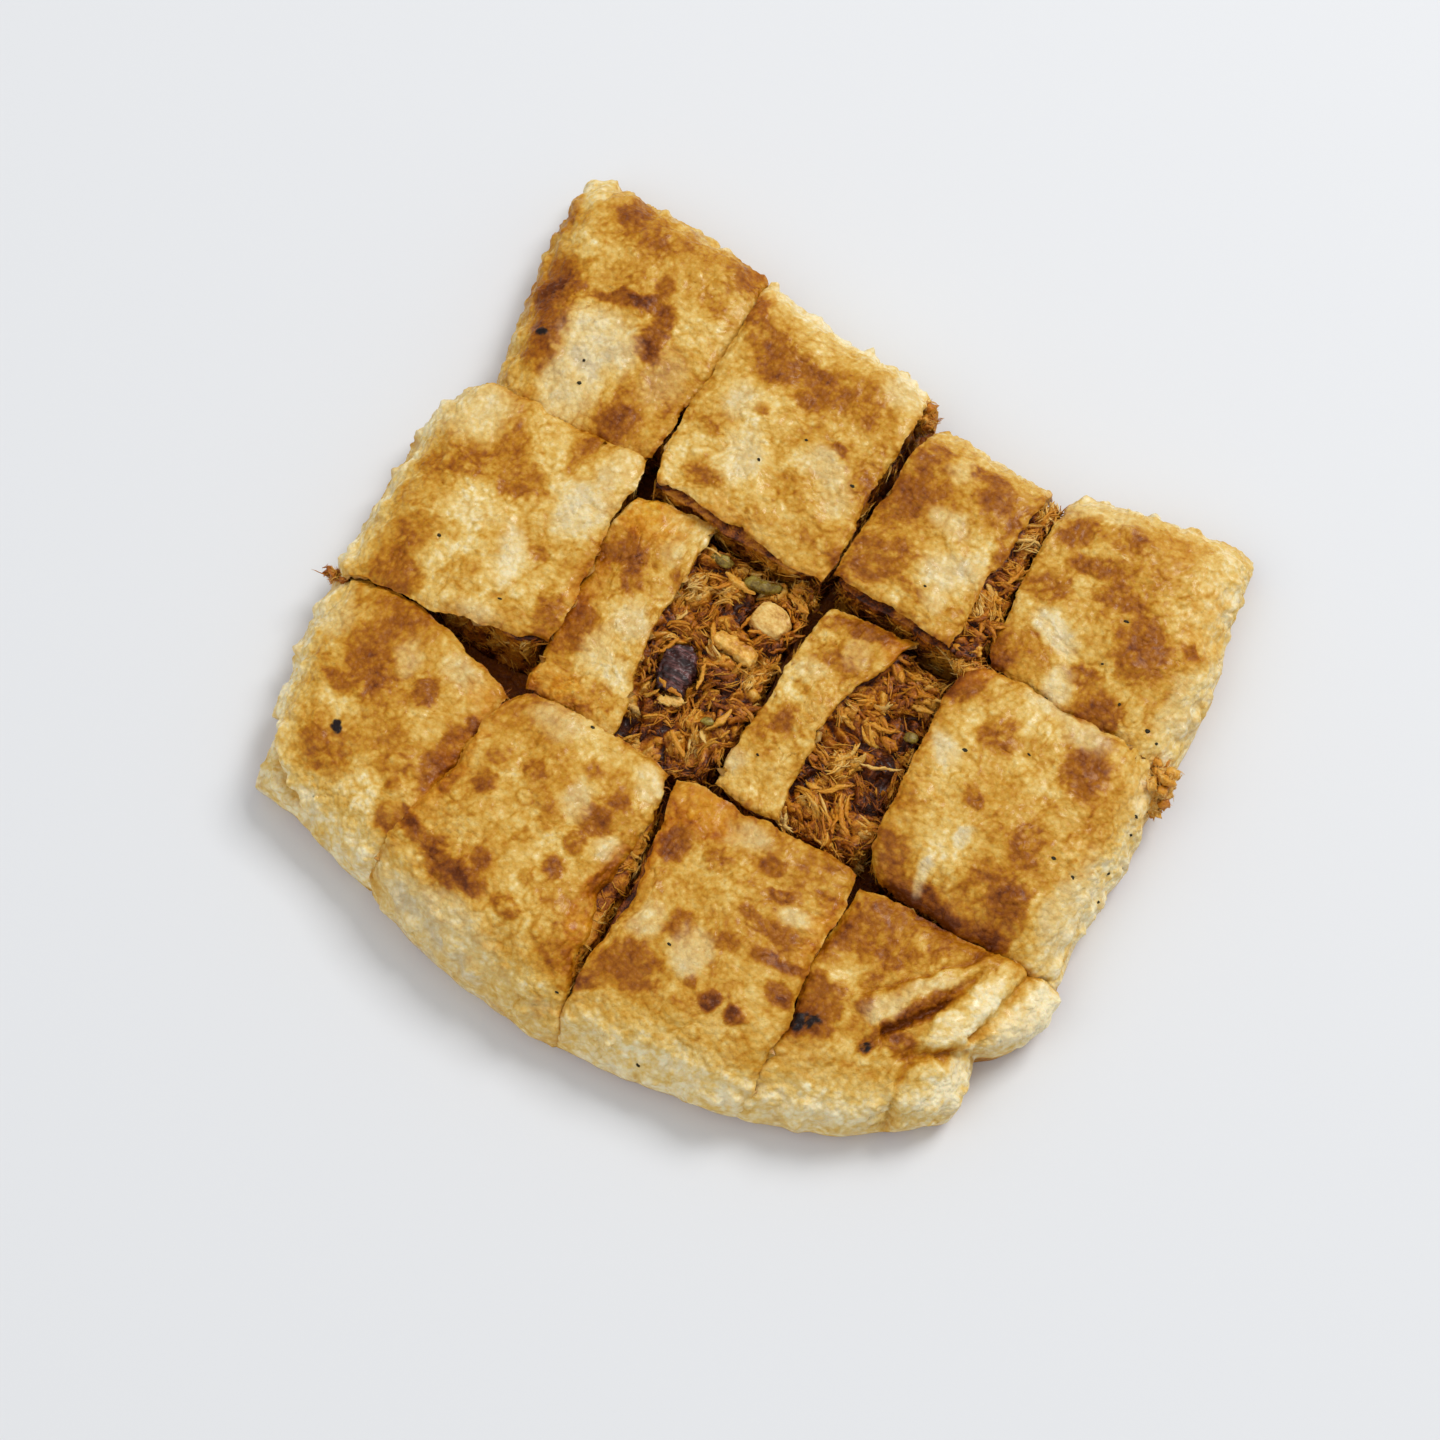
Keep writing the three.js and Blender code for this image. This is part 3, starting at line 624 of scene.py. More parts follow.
@dataclass(frozen=True)
class Griddle:
    """Works out relief and browning over a slice's outer surface.

    blisters, pimples and bubbles are the spacing in mm of the top's blisters, the pimples all over and the rims'
    bubbles. From knee on, the dough browns half as fast.
    """

    cut: Cut
    noise: Noise = Noise(7)
    blisters: float = 4.4
    pimples: float = 1.7
    bubbles: float = 4.6
    knee: float = 0.74

    def offsets(self, mark: Mark, u: Array, v: Array, warp: Array) -> Array:
        """Distance from a mark's middle, 1 on its edge.

        Args:
            mark: the mark.
            u: shares of the width.
            v: shares of the depth.
            warp: shifts in mm that make its outline irregular, shape (..., 2).

        Returns:
            The distances, shape like u.
        """
        along = (u - mark.u) * self.cut.width + warp[..., 0]
        up = (v - mark.v) * self.cut.depth + warp[..., 1]
        c, s = math.cos(math.radians(mark.turn)), math.sin(math.radians(mark.turn))
        return np.hypot((along * c + up * s) / mark.wide, (up * c - along * s) / mark.deep)

    def crease_lines(self, u: Array, v: Array, warp: Array) -> tuple[Array, Array]:
        """What the creases add.

        Args:
            u: shares of the width.
            v: shares of the depth.
            warp: shifts in mm that make the lines wander, shape (..., 2).

        Returns:
            The height in mm and how near the line is, from 0 to 1, each shape like u. The nearness darkens
            the dough as painted shade along the creases.
        """
        total, line = np.zeros_like(u), np.zeros_like(u)
        x, y = u * self.cut.width + warp[..., 0] * 0.5, v * self.cut.depth + warp[..., 1] * 0.5
        for crease in self.cut.creases:
            nearest, left = np.full_like(u, 1e9), np.zeros_like(u)
            scaled = [(a * self.cut.width, b * self.cut.depth) for a, b in crease.line]
            for (ax, ay), (bx, by) in itertools.pairwise(scaled):
                dx, dy = bx - ax, by - ay
                t = np.clip(((x - ax) * dx + (y - ay) * dy) / (dx * dx + dy * dy), 0, 1)
                distance = np.hypot(x - ax - t * dx, y - ay - t * dy)
                side = np.sign(dx * (y - ay) - dy * (x - ax))
                left = np.where(distance < nearest, side, left)
                nearest = np.minimum(nearest, distance)
            close = np.exp(-((nearest / crease.width) ** 2))
            total += crease.step * 0.5 * left * ease(0.0, crease.width, nearest) * np.exp(-nearest / 4)
            total -= crease.depth * close
            line = np.maximum(line, close * min(1.0, crease.depth))
        return total, line

    def work(self, points: Array, u: Array, v: Array, rise: Array) -> dict[str, Array]:
        """Relief and looks of an outer surface.

        Args:
            points: loaf positions in mm, shape (..., 3).
            u: shares of the width.
            v: shares of the depth.
            rise: the share of full height, 1 on the fried top.

        Returns:
            The relief in mm and the looks toast, pale, char, stain and rim, each shape like u. toast also holds
            painted shade between the pimples and along the creases.
        """
        n = self.noise
        wander = np.stack([
            1.8 * n.fractal(points, 7.0, 2, k) + 0.9 * n.fractal(points, 2.2, 3, k + 5) for k in (21, 22)
        ], -1)
        top = ease(0.62, 0.98, rise + 0.10 * n.fractal(points, 6.0, 3, 14) * ease(0, 0.5, 1 - rise))
        lacy = n.fractal(points + 0.8 * wander[..., :1], 3.4, 4, 2)
        toasted = self.cut.base + 0.22 * n.fractal(points, 15.0, 2, 1) + 0.10 * lacy
        toasted = toasted * top + (self.cut.rim_base + 0.12 * n.fractal(points, 5.0, 3, 3)) * (1 - top)
        looks = {tone: np.zeros_like(u) for tone in Tone}
        dome = np.zeros_like(u)
        for mark in self.cut.marks:
            far = self.offsets(mark, u, v, wander * min(1.0, 0.2 + min(mark.wide, mark.deep) / 8))
            inside = 1 - ease(0.55, 1.3, far)
            ring = mark.ring * (np.exp(-(((far - 0.85) / 0.25) ** 2)) - 0.8 * np.exp(-((far / 0.6) ** 2)))
            looks[mark.tone] += mark.strength * (inside + ring)
            dome += mark.dome * np.clip(1 - far * far / 1.4, 0, 1)
        bare = np.clip(looks[Tone.PALE], 0, 1)
        toasted = toasted * (1 - 0.8 * bare) + 0.92 * looks[Tone.TOAST] * (0.85 + 0.15 * top) * (1 + 0.2 * lacy)

        bent = points + 0.9 * n.vectors(points, 4.0, (41, 42, 43))
        large, small = n.cells(bent, self.blisters, 1), n.cells(points, self.pimples, 2)
        foam = n.cells(bent, self.bubbles, 4)
        blister = np.sqrt(np.clip(1 - (large.near / 0.52) ** 2, 0, 1)) * (large.owner > 0.5) * large.owner
        ring = np.exp(-(((large.near - 0.50) / 0.09) ** 2)) * (large.owner > 0.5)
        pimple = np.sqrt(np.clip(1 - (small.near / 0.55) ** 2, 0, 1)) * ease(0.3, 0.6, small.owner)
        bubble = (1 - ease(0.05, 0.70, foam.near)) * ease(0.1, 0.8, foam.owner)
        coarse, grain = n.fractal(points, 3.2, 3, 13), n.fractal(points, 1.25, 3, 5)
        fold = np.abs(n.fractal(points, 8.0, 3, 6))
        creased, line = self.crease_lines(u, v, wander)

        relief = 0.55 * n.smooth(points, 24.0, 7) + 0.42 * n.fractal(points, 9.0, 2, 8)
        relief += top * (0.32 * blister + 0.16 * coarse) + (1 - top) * (1.4 * bubble + 0.6 * coarse)
        relief += 0.15 * pimple + 0.13 * grain + dome
        relief -= 0.35 * np.exp(-((fold / 0.05) ** 2)) * ease(0.0, 0.5, n.smooth(points, 12.0, 9))
        relief = relief * ease(0.0, 0.3, rise) + creased * ease(0.0, 0.15, rise)

        # Painted shade: the 0.09 * (0.4 - pimple) term browns the ground between the pimples and lightens their tops.
        toasted = toasted + (0.13 * ring - 0.04 * blister) * top + 0.09 * (0.4 - pimple) + 0.10 * grain
        # Painted shade: line darkens the dough along each crease.
        toasted += line * (0.20 + 0.12 * top) + (1 - top) * (0.04 - 0.10 * bubble + 0.07 * coarse)
        toasted = np.where(toasted > self.knee, self.knee + 0.5 * (toasted - self.knee), toasted)
        return {
            "relief": relief,
            "toast": np.clip(toasted, 0, 1.0),
            "pale": np.clip(looks[Tone.PALE] + 0.12 * n.fractal(points, 4.0, 2, 10) * bare, 0, 1),
            "char": np.clip(looks[Tone.CHAR] * (0.75 + 0.5 * grain), 0, 1),
            "stain": np.clip(looks[Tone.STAIN] * (0.9 + 0.5 * n.fractal(points, 3.5, 2, 12)), 0, 1),
            "rim": 1 - top,
        }


# ---- Closed pieces from grids of points ----


class Shell:
    """One closed piece, put together from grids of points in mm and the strips between their borders."""

    LOOKS = ("toast", "pale", "char", "stain", "rim", "inner")

    def __init__(self) -> None:
        """Starts with no points."""
        self.points: list[Array] = []
        self.looks: dict[str, list[Array]] = {name: [] for name in self.LOOKS}
        self.faces: list[list[int]] = []
        self.count = 0

    def add(self, grid: Array, **looks: Array | float) -> Array:
        """Takes a grid of points.

        Args:
            grid: positions in mm, shape (n, m, 3).
            looks: a value for each point, or one for all, by attribute name.

        Returns:
            The points' numbers, shape (n, m).
        """
        n, m, _ = grid.shape
        self.points.append(grid.reshape(-1, 3))
        for name in self.LOOKS:
            self.looks[name].append(np.broadcast_to(looks.get(name, 0.0), (n, m)).reshape(-1))
        numbers = np.arange(n * m).reshape(n, m) + self.count
        self.count += n * m
        return numbers

    def cover(self, grid: Array, facing_up: bool) -> None:
        """Adds a face for each cell of a grid of point numbers."""
        quads = np.stack([grid[:-1, :-1], grid[1:, :-1], grid[1:, 1:], grid[:-1, 1:]], -1).reshape(-1, 4)
        self.faces += (quads if facing_up else quads[:, ::-1]).tolist()

    def wall(self, high: Array, low: Array, inward: bool = False) -> None:
        """Adds the strip between two borders, of which either may have more points.

        Args:
            high: point numbers along the upper border, anticlockwise seen from above.
            low: point numbers along the lower border, in the same order.
            inward: the strip faces the piece's own hollow.
        """
        steps = min(len(high), len(low)) - 1
        high_at = np.round(np.linspace(0, len(high) - 1, steps + 1)).astype(int)
        low_at = np.round(np.linspace(0, len(low) - 1, steps + 1)).astype(int)
        for k in range(steps):
            face = [*low[low_at[k] : low_at[k + 1] + 1], *high[high_at[k] : high_at[k + 1] + 1][::-1]]
            self.faces.append([int(p) for p in (reversed(face) if inward else face)])

    def slab(self, high: Array, low: Array) -> None:
        """Closes a sheet.

        Args:
            high: point numbers of its upper grid.
            low: point numbers of its lower grid.
        """
        self.cover(high, True)
        self.cover(low, False)
        for side in Side:
            self.wall(border(high, side), border(low, side))

    def mesh(self, name: str, offset: Array) -> Mesh:
        """The piece as a mesh in metres.

        Args:
            name: the mesh's name.
            offset: added to every point, in mm.

        Returns:
            The mesh, with the looks as point attributes.
        """
        mesh = mesh_of(name, drift(np.concatenate(self.points)) + offset, self.faces)
        for look, blocks in self.looks.items():
            set_look(mesh, look, np.concatenate(blocks))
        mesh.shade_smooth()
        mesh.set_sharp_from_angle(angle=math.radians(55))
        return mesh


def border(grid: Array, side: Side) -> Array:
    """One side of a grid, in the order that runs anticlockwise seen from above."""
    sides = {NEAR: grid[:, 0], RIGHT: grid[-1, :], FAR: grid[::-1, -1], LEFT: grid[0, ::-1]}
    return sides[side]


@dataclass(frozen=True)
class Lines:
    """Grid lines across a slice: their distance from the first side, and the share of full height there."""

    at: Array
    rise: Array

    @staticmethod
    def across(length: float, first: float, last: float, shy: float, step: float, cells: int) -> Lines:
        """Lays lines over two shoulders and the flat between them.

        Args:
            length: distance between the sides.
            first: the first side's shoulder width, or 0 where it is cut.
            last: the last side's shoulder width, or 0.
            shy: how far the last side is drawn back.
            step: the distance between lines, in mm along the surface.
            cells: the number of cells is made a multiple of this.

        Returns:
            The lines.
        """
        height = 15.0
        end = length - shy

        def shoulder(width: float) -> Array:
            """The angles up a shoulder of that width at which lines lie."""
            steps = round(1.57 * math.sqrt((width**2 + height**2) / 2) / step)
            return np.linspace(0, math.pi / 2, steps, endpoint=False)

        opening = shoulder(first) if first else np.zeros(0)
        closing = shoulder(last) if last else np.zeros(0)
        flat = max(2, round((end - first - last) / step))
        flat += -(len(opening) + len(closing) + flat) % cells
        middle = np.linspace(first, end - last, flat + 1)
        at = [first * (1 - np.cos(opening)), middle, end - last * (1 - np.cos(closing[::-1]))]
        rise = [np.sin(opening), np.ones(flat + 1), np.sin(closing[::-1])]
        return Lines(np.concatenate(at), np.concatenate(rise))


def unit(vectors: Array) -> Array:
    """The vectors at length 1."""
    return vectors / np.maximum(np.linalg.norm(vectors, axis=-1, keepdims=True), 1e-9)


def normals_of(grid: Array) -> Array:
    """Upward normals of a grid of points."""
    return unit(np.cross(np.gradient(grid, axis=0), np.gradient(grid, axis=1)))


# ---- Node writing ----


class Value:
    """A number inside a node tree, which can be written into sums, differences and products."""

    def __init__(self, graph: Graph, socket: NodeSocket) -> None:
        """Takes the tree's builder and the socket that the number comes from."""
        self.graph = graph
        self.socket = socket

    def _math(self, operation: str, first: Any, second: Any) -> Value:
        """The result of one Math node."""
        node = self.graph.node("ShaderNodeMath", {"operation": operation}, {0: first, 1: second})
        return Value(self.graph, node.outputs[0])

    def __add__(self, other: Any) -> Value:
        """self + other."""
        return self._math("ADD", self, other)

    __radd__ = __add__

    def __sub__(self, other: Any) -> Value:
        """self - other."""
        return self._math("SUBTRACT", self, other)

    def __rsub__(self, other: Any) -> Value:
        """other - self."""
        return self._math("SUBTRACT", other, self)

    def __mul__(self, other: Any) -> Value:
        """self * other."""
        return self._math("MULTIPLY", self, other)

    __rmul__ = __mul__

    def between(self, low: float, high: float) -> Value:
        """A smooth step.

        Args:
            low: where it is 0.
            high: where it is 1.

        Returns:
            The step.
        """
        settings = {"interpolation_type": "SMOOTHSTEP"}
        node = self.graph.node("ShaderNodeMapRange", settings, {"Value": self, "From Min": low, "From Max": high})
        return Value(self.graph, node.outputs[0])


class Graph:
    """A node tree being built."""

    def __init__(self, tree: bpy.types.NodeTree) -> None:
        """Takes the tree."""
        self.tree = tree

    def node(self, kind: str, settings: dict[str, Any], sockets: dict[Any, Any]) -> Node:
        """Adds a node.

        Args:
            kind: the node's type.
            settings: its own properties, or "stops" for a ramp's (position, colour) pairs. They are set first.
            sockets: a value or a link for each input, by name or number.

        Returns:
            The node.
        """
        node = self.tree.nodes.new(kind)
        for name, value in settings.items():
            if name == "stops":
                self._stops(node.color_ramp, value)
            else:
                setattr(node, name, value)
        for key, value in sockets.items():
            self.feed(node.inputs[key], value)
        return node

    @staticmethod
    def _stops(ramp: bpy.types.ColorRamp, stops: Sequence[tuple[float, Colour]]) -> None:
        """Sets a ramp's stops.

        Args:
            ramp: the ramp.
            stops: their positions and colours, in order.
        """
        while len(ramp.elements) < len(stops):
            ramp.elements.new(0.5)
        for element, (position, colour) in zip(ramp.elements, stops, strict=True):
            element.position = position
            element.color = (*colour, 1.0)

    def feed(self, socket: NodeSocket, value: Any) -> None:
        """Links or sets an input.

        Args:
            socket: the input.
            value: a link, or what it is set to.
        """
        if isinstance(value, Value):
            value = value.socket
        if isinstance(value, NodeSocket):
            self.tree.links.new(value, socket)
        elif isinstance(value, tuple) and socket.type == "RGBA":
            socket.default_value = (*value[:3], 1.0)
        else:
            socket.default_value = value


class Paint(Graph):
    """One material being built from nodes."""

    def __init__(self, name: str) -> None:
        """Starts a material.

        Args:
            name: its name.
        """
        self.material = bpy.data.materials.new(name)
        self.material.use_nodes = True
        super().__init__(self.material.node_tree)
        self.shader = self.tree.nodes["Principled BSDF"]

    def look(self, name: str) -> Value:
        """A mesh attribute's number."""
        node = self.node("ShaderNodeAttribute", {"attribute_name": name}, {})
        return Value(self, node.outputs["Fac"])

    def place(self) -> NodeSocket:
        """Object coordinates."""
        return self.node("ShaderNodeTexCoord", {}, {}).outputs["Object"]

    def grain(self, size: float, detail: float = 3.0, stretch: Triple = (1, 1, 1), rough: float = 0.55) -> Value:
        """Noise from 0 to 1.

        Args:
            size: the humps' width in mm.
            detail: how many finer layers.
            stretch: how much longer the humps are along X, Y and Z.
            rough: how strong the finer layers are.

        Returns:
            The noise.
        """
        scale = tuple(1 / (size * MM * s) for s in stretch)
        at = self.node("ShaderNodeMapping", {}, {"Vector": self.place(), "Scale": scale}).outputs[0]
        sockets = {"Vector": at, "Scale": 1.0, "Detail": detail, "Roughness": rough}
        return Value(self, self.node("ShaderNodeTexNoise", {}, sockets).outputs["Fac"])

    def bubbles(self, size: float) -> Value:
        """Distance from the middle of the nearest bubble, from 0 to about 1. size is their spacing in mm."""
        sockets = {"Vector": self.place(), "Scale": 1 / (size * MM)}
        return Value(self, self.node("ShaderNodeTexVoronoi", {"feature": "F1"}, sockets).outputs["Distance"])

    def ramp(self, value: Value, stops: Sequence[tuple[float, Colour]]) -> NodeSocket:
        """A colour for each value."""
        return self.node("ShaderNodeValToRGB", {"stops": stops}, {"Fac": value}).outputs["Color"]

    def mix(self, share: Value, under: Any, over: Any) -> NodeSocket:
        """One colour laid over another by a share from 0 to 1."""
        settings = {"data_type": "RGBA", "clamp_factor": True}
        return self.node("ShaderNodeMix", settings, {0: share, 6: under, 7: over}).outputs[2]

    def bump(self, height: Value, distance: float, strength: float = 1.0) -> None:
        """Feeds the surface's normal from a height.

        Args:
            height: from 0 to 1.
            distance: how high 1 is, in mm.
            strength: the share of it that shows.
        """
        node = self.node("ShaderNodeBump", {}, {"Strength": strength, "Distance": distance * MM, "Height": height})
        self.feed(self.shader.inputs["Normal"], node.outputs[0])

    def set(self, **sockets: Any) -> None:
        """Sets or links the main shader's inputs, with _ for a space in their names."""
        for name, value in sockets.items():
            self.feed(self.shader.inputs[name.replace("_", " ")], value)


def rgb(red: int, green: int, blue: int) -> Colour:
    """A screen colour from 0 to 255 as linear light."""
    return tuple(((c / 255 + 0.055) / 1.055) ** 2.4 if c > 10 else c / 255 / 12.92 for c in (red, green, blue))


@dataclass(frozen=True)
class FriedDough:
    """The griddled dough: translucent cream through gold to dark brown, with burnt spots and turmeric stains."""

    name: str = "fried_dough"
    browning: tuple[tuple[float, Colour], ...] = (
        (0.00, rgb(250, 234, 190)), (0.12, rgb(241, 216, 156)), (0.24, rgb(230, 194, 112)), (0.38, rgb(216, 169, 76)),
        (0.50, rgb(202, 146, 46)), (0.62, rgb(186, 123, 22)), (0.76, rgb(162, 95, 8)), (0.90, rgb(132, 68, 5)),
        (1.00, rgb(98, 44, 4)),
    )
    bare: Colour = rgb(226, 206, 158)
    chalky: Colour = rgb(194, 174, 138)
    turmeric: tuple[tuple[float, Colour], ...] = (
        (0.05, rgb(230, 180, 48)), (0.35, rgb(208, 135, 4)), (0.65, rgb(172, 92, 0)), (0.95, rgb(108, 46, 2)),
    )
    burnt: Colour = rgb(30, 18, 16)
    inside: Colour = rgb(196, 140, 66)

    def make(self) -> Material:
        """Builds the material.

        Returns:
            The material.
        """
        paint = Paint(self.name)
        fine = paint.grain(1.5, 4.0)
        finest = paint.grain(0.55, 3.0)
        soft = paint.grain(5.0, 3.0)
        pores = paint.bubbles(1.3)
        browned = paint.look("toast") + 0.26 * (fine - 0.5) + 0.14 * (finest - 0.5) + 0.14 * (pores - 0.45)
        colour = paint.ramp(browned, self.browning)
        bare = paint.look("pale") * (0.85 + 1.6 * (soft - 0.5))
        patchy = paint.mix((soft + 0.6 * (fine - 0.5)).between(0.42, 0.62), self.bare, self.chalky)
        colour = paint.mix(bare * 0.7, colour, patchy)
        colour = paint.mix((paint.look("rim") * soft).between(0.45, 0.75) * 0.3, colour, self.chalky)
        stain = paint.look("stain") * (0.9 + 0.8 * (fine - 0.5))
        colour = paint.mix(stain * 0.95, colour, paint.ramp(browned, self.turmeric))
        colour = paint.mix(paint.look("inner"), colour, self.inside)
        colour = paint.mix(paint.look("char").between(0.15, 0.75), colour, self.burnt)
        paint.set(Base_Color=colour, Roughness=0.50 - 0.16 * paint.look("toast") + 0.22 * (fine - 0.5))
        paint.set(Subsurface_Weight=0.12, Subsurface_Radius=(1.0, 0.55, 0.25), Subsurface_Scale=0.0016)
        paint.set(Specular_IOR_Level=0.15, Coat_Roughness=0.16)
        paint.set(Coat_Weight=0.42 * soft.between(0.36, 0.66) * (1.1 - paint.look("toast")))
        paint.bump(0.5 * fine + 0.3 * finest - 0.5 * pores, 0.62)
        return paint.material


@dataclass(frozen=True)
class ShreddedFilling:
    """Shredded meat in orange egg: painted shade darkens the hollows, golden on the fibres."""

    name: str = "shredded_filling"
    tones: tuple[tuple[float, Colour], ...] = (
        (0.00, rgb(52, 18, 3)), (0.16, rgb(108, 48, 6)), (0.34, rgb(162, 88, 14)), (0.54, rgb(204, 128, 26)),
        (0.76, rgb(226, 162, 54)), (1.00, rgb(238, 194, 110)),
    )

    def make(self) -> Material:
        """Builds the material.

        Returns:
            The material.
        """
        paint = Paint(self.name)
        streak = paint.grain(0.5, 3.0)
        blotch = paint.grain(4.0, 3.0)
        tone = paint.look("tint") + 0.6 * (blotch - 0.5) + 0.5 * (streak - 0.5)
        paint.set(Base_Color=paint.ramp(tone, self.tones), Roughness=0.42 + 0.25 * (streak - 0.5))
        paint.set(Subsurface_Weight=0.10, Subsurface_Radius=(1.0, 0.45, 0.2), Subsurface_Scale=0.0010)
        paint.set(Specular_IOR_Level=0.2, Coat_Weight=0.15, Coat_Roughness=0.22)
        paint.bump(streak, 0.35)
        return paint.material


@dataclass(frozen=True)
class Morsel:
    """The finish of one larger bit in the filling, mottled between a dark and a light tone."""

    name: str
    dark: Colour
    middle: Colour
    light: Colour
    roughness: float
    stretch: Triple = (1, 1, 1)
    gloss: float = 0.1

    def make(self) -> Material:
        """Builds the material.

        Returns:
            The material.
        """
        paint = Paint(self.name)
        blotch = paint.grain(2.6, 3.0, self.stretch)
        streak = paint.grain(0.5, 3.0, self.stretch)
        tone = blotch + 0.5 * (streak - 0.5)
        colour = paint.ramp(tone, ((0.30, self.dark), (0.50, self.middle), (0.68, self.light)))
        paint.set(Base_Color=colour, Roughness=self.roughness + 0.2 * (streak - 0.5))
        paint.set(Subsurface_Weight=0.12, Subsurface_Radius=(1.0, 0.6, 0.35), Subsurface_Scale=0.0012)
        paint.set(Specular_IOR_Level=0.35, Coat_Weight=self.gloss, Coat_Roughness=0.2)
        paint.bump(streak, 0.15)
        return paint.material


@dataclass(frozen=True)
class Pepper:
    """Specks of ground pepper."""

    name: str = "pepper"

    def make(self) -> Material:
        """Builds the material.

        Returns:
            The material.
        """
        paint = Paint(self.name)
        colour = paint.ramp(paint.grain(0.4), ((0.3, rgb(24, 20, 12)), (0.7, rgb(64, 54, 28))))
        paint.set(Base_Color=colour, Roughness=0.7, Specular_IOR_Level=0.2)
        return paint.material


@dataclass(frozen=True)
class PlainFloor:
    """A pale matt table."""

    name: str = "pale_floor"

    def make(self) -> Material:
        """Builds the material.

        Returns:
            The material.
        """
        paint = Paint(self.name)
        paint.set(Base_Color=rgb(228, 229, 231), Roughness=0.9)
        return paint.material


# ---- Pieces ----


def loaf_offset() -> Array:
    """What turns loaf millimetres into the frame's, from where the frame has the second middle slice's base."""
    low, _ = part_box("crust_b2_base")
    return np.array(Vector((low.x / MM + 42.5, low.y / MM + 23.0, 0.0)))


def mesh_of(name: str, points: Array, faces: list[list[int]]) -> Mesh:
    """Makes a mesh in metres.

    Args:
        name: its name.
        points: its points in mm.
        faces: the point numbers of each face.

    Returns:
        The mesh.
    """
    mesh = bpy.data.meshes.new(name)
    mesh.from_pydata((points * MM).tolist(), [], faces)
    return mesh


def poured(bm: bmesh.types.BMesh, name: str) -> Mesh:
    """Turns a bmesh into a mesh.

    Args:
        bm: the bmesh, which is freed.
        name: the mesh's name.

    Returns:
        The mesh.
    """
    mesh = bpy.data.meshes.new(name)
    bm.to_mesh(mesh)
    bm.free()
    return mesh


def in_scene(name: str, data: Any) -> Object:
    """Puts a new object in the scene.

    Args:
        name: its name.
        data: its mesh, light or camera.

    Returns:
        The object.
    """
    item = bpy.data.objects.new(name, data)
    bpy.context.scene.collection.objects.link(item)
    return item


def worked(maker: Object) -> Mesh:
    """Takes what an object's modifiers make of its mesh.

    Args:
        maker: the object, which is removed.

    Returns:
        A plain mesh.
    """
    mesh = bpy.data.meshes.new_from_object(maker.evaluated_get(bpy.context.evaluated_depsgraph_get()))
    bpy.data.objects.remove(maker)
    return mesh


def remeshed(node: str, voxel: float) -> Mesh:
    """A CAD node as an even mesh.

    Args:
        node: the node's name.
        voxel: the size of its faces in mm.

    Returns:
        The new mesh.
    """
    bm = bmesh.new()
    bm.from_mesh(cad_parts[node].data)
    bmesh.ops.remove_doubles(bm, verts=bm.verts, dist=1e-6)
    maker = in_scene(node, poured(bm, node))
    modifier = maker.modifiers.new("even", "REMESH")
    modifier.mode = "VOXEL"
    modifier.voxel_size = voxel * MM
    return worked(maker)


def vectors_of(items: Any, name: str) -> Array:
    """One vector of each item.

    Args:
        items: a mesh's points, or their normals.
        name: the vector's name.

    Returns:
        The vectors, shape (n, 3).
    """
    flat = np.empty(len(items) * 3, np.float32)
    items.foreach_get(name, flat)
    return flat.reshape(-1, 3).astype(float)


def points_of(mesh: Mesh) -> Array:
    """A mesh's points in mm, shape (n, 3)."""
    return vectors_of(mesh.vertices, "co") / MM


def point_normals(mesh: Mesh) -> Array:
    """A mesh's point normals, shape (n, 3)."""
    return vectors_of(mesh.vertex_normals, "vector")


def set_points(mesh: Mesh, points: Array) -> None:
    """Moves a mesh's points to positions in mm."""
    mesh.vertices.foreach_set("co", (points * MM).astype(np.float32).reshape(-1))
    mesh.update()


def set_look(mesh: Mesh, name: str, values: Array) -> None:
    """Stores a number for each point of a mesh."""
    layer = mesh.attributes.get(name) or mesh.attributes.new(name, "FLOAT", "POINT")
    layer.data.foreach_set("value", np.asarray(values, np.float32))


def put(name: str, mesh: Mesh, finish: Material, slot: str, *nodes: str) -> None:
    """Makes a finished piece of a mesh, riding on the only body.

    Args:
        name: the piece's name.
        mesh: its mesh, in the frame's metres.
        finish: its material.
        slot: not used.
        nodes: the CAD nodes that it stands for.
    """
    piece = in_scene(name, mesh)
    mesh.materials.clear()
    mesh.materials.append(finish)
    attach(piece, "root")
    if nodes:
        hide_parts(*nodes)
    LOG.info("%s: %d faces", name, len(mesh.polygons))


@dataclass(frozen=True)
class Lump:
    """A small uneven lump: its middle in loaf mm, its half sizes in mm and its tone."""

    at: Triple
    size: Triple
    tint: float
    detail: int = 3


def lumps_mesh(name: str, lumps: Iterable[Lump], offset: Array, roughness: float) -> Mesh:
    """One mesh of uneven lumps.

    Args:
        name: the mesh's name.
        lumps: the lumps.
        offset: added to every point, in mm.
        roughness: how uneven they are, as a share of their size.

    Returns:
        The mesh, with the lumps' tone as "tint".
    """
    bm = bmesh.new()
    tone = bm.verts.layers.float.new("tint")
    for seed, lump in enumerate(lumps):
        made = bmesh.ops.create_icosphere(bm, subdivisions=lump.detail, radius=1.0)["verts"]
        around = np.array([v.co for v in made])
        around *= (1 + roughness * Noise(60 + seed).fractal(around, 0.9, 2, 1))[:, None]
        around = drift(around * np.array(lump.size) + np.array(lump.at)) + offset
        for vert, place in zip(made, around, strict=True):
            vert.co = place * MM
            vert[tone] = lump.tint
    mesh = poured(bm, name)
    mesh.shade_smooth()
    return mesh


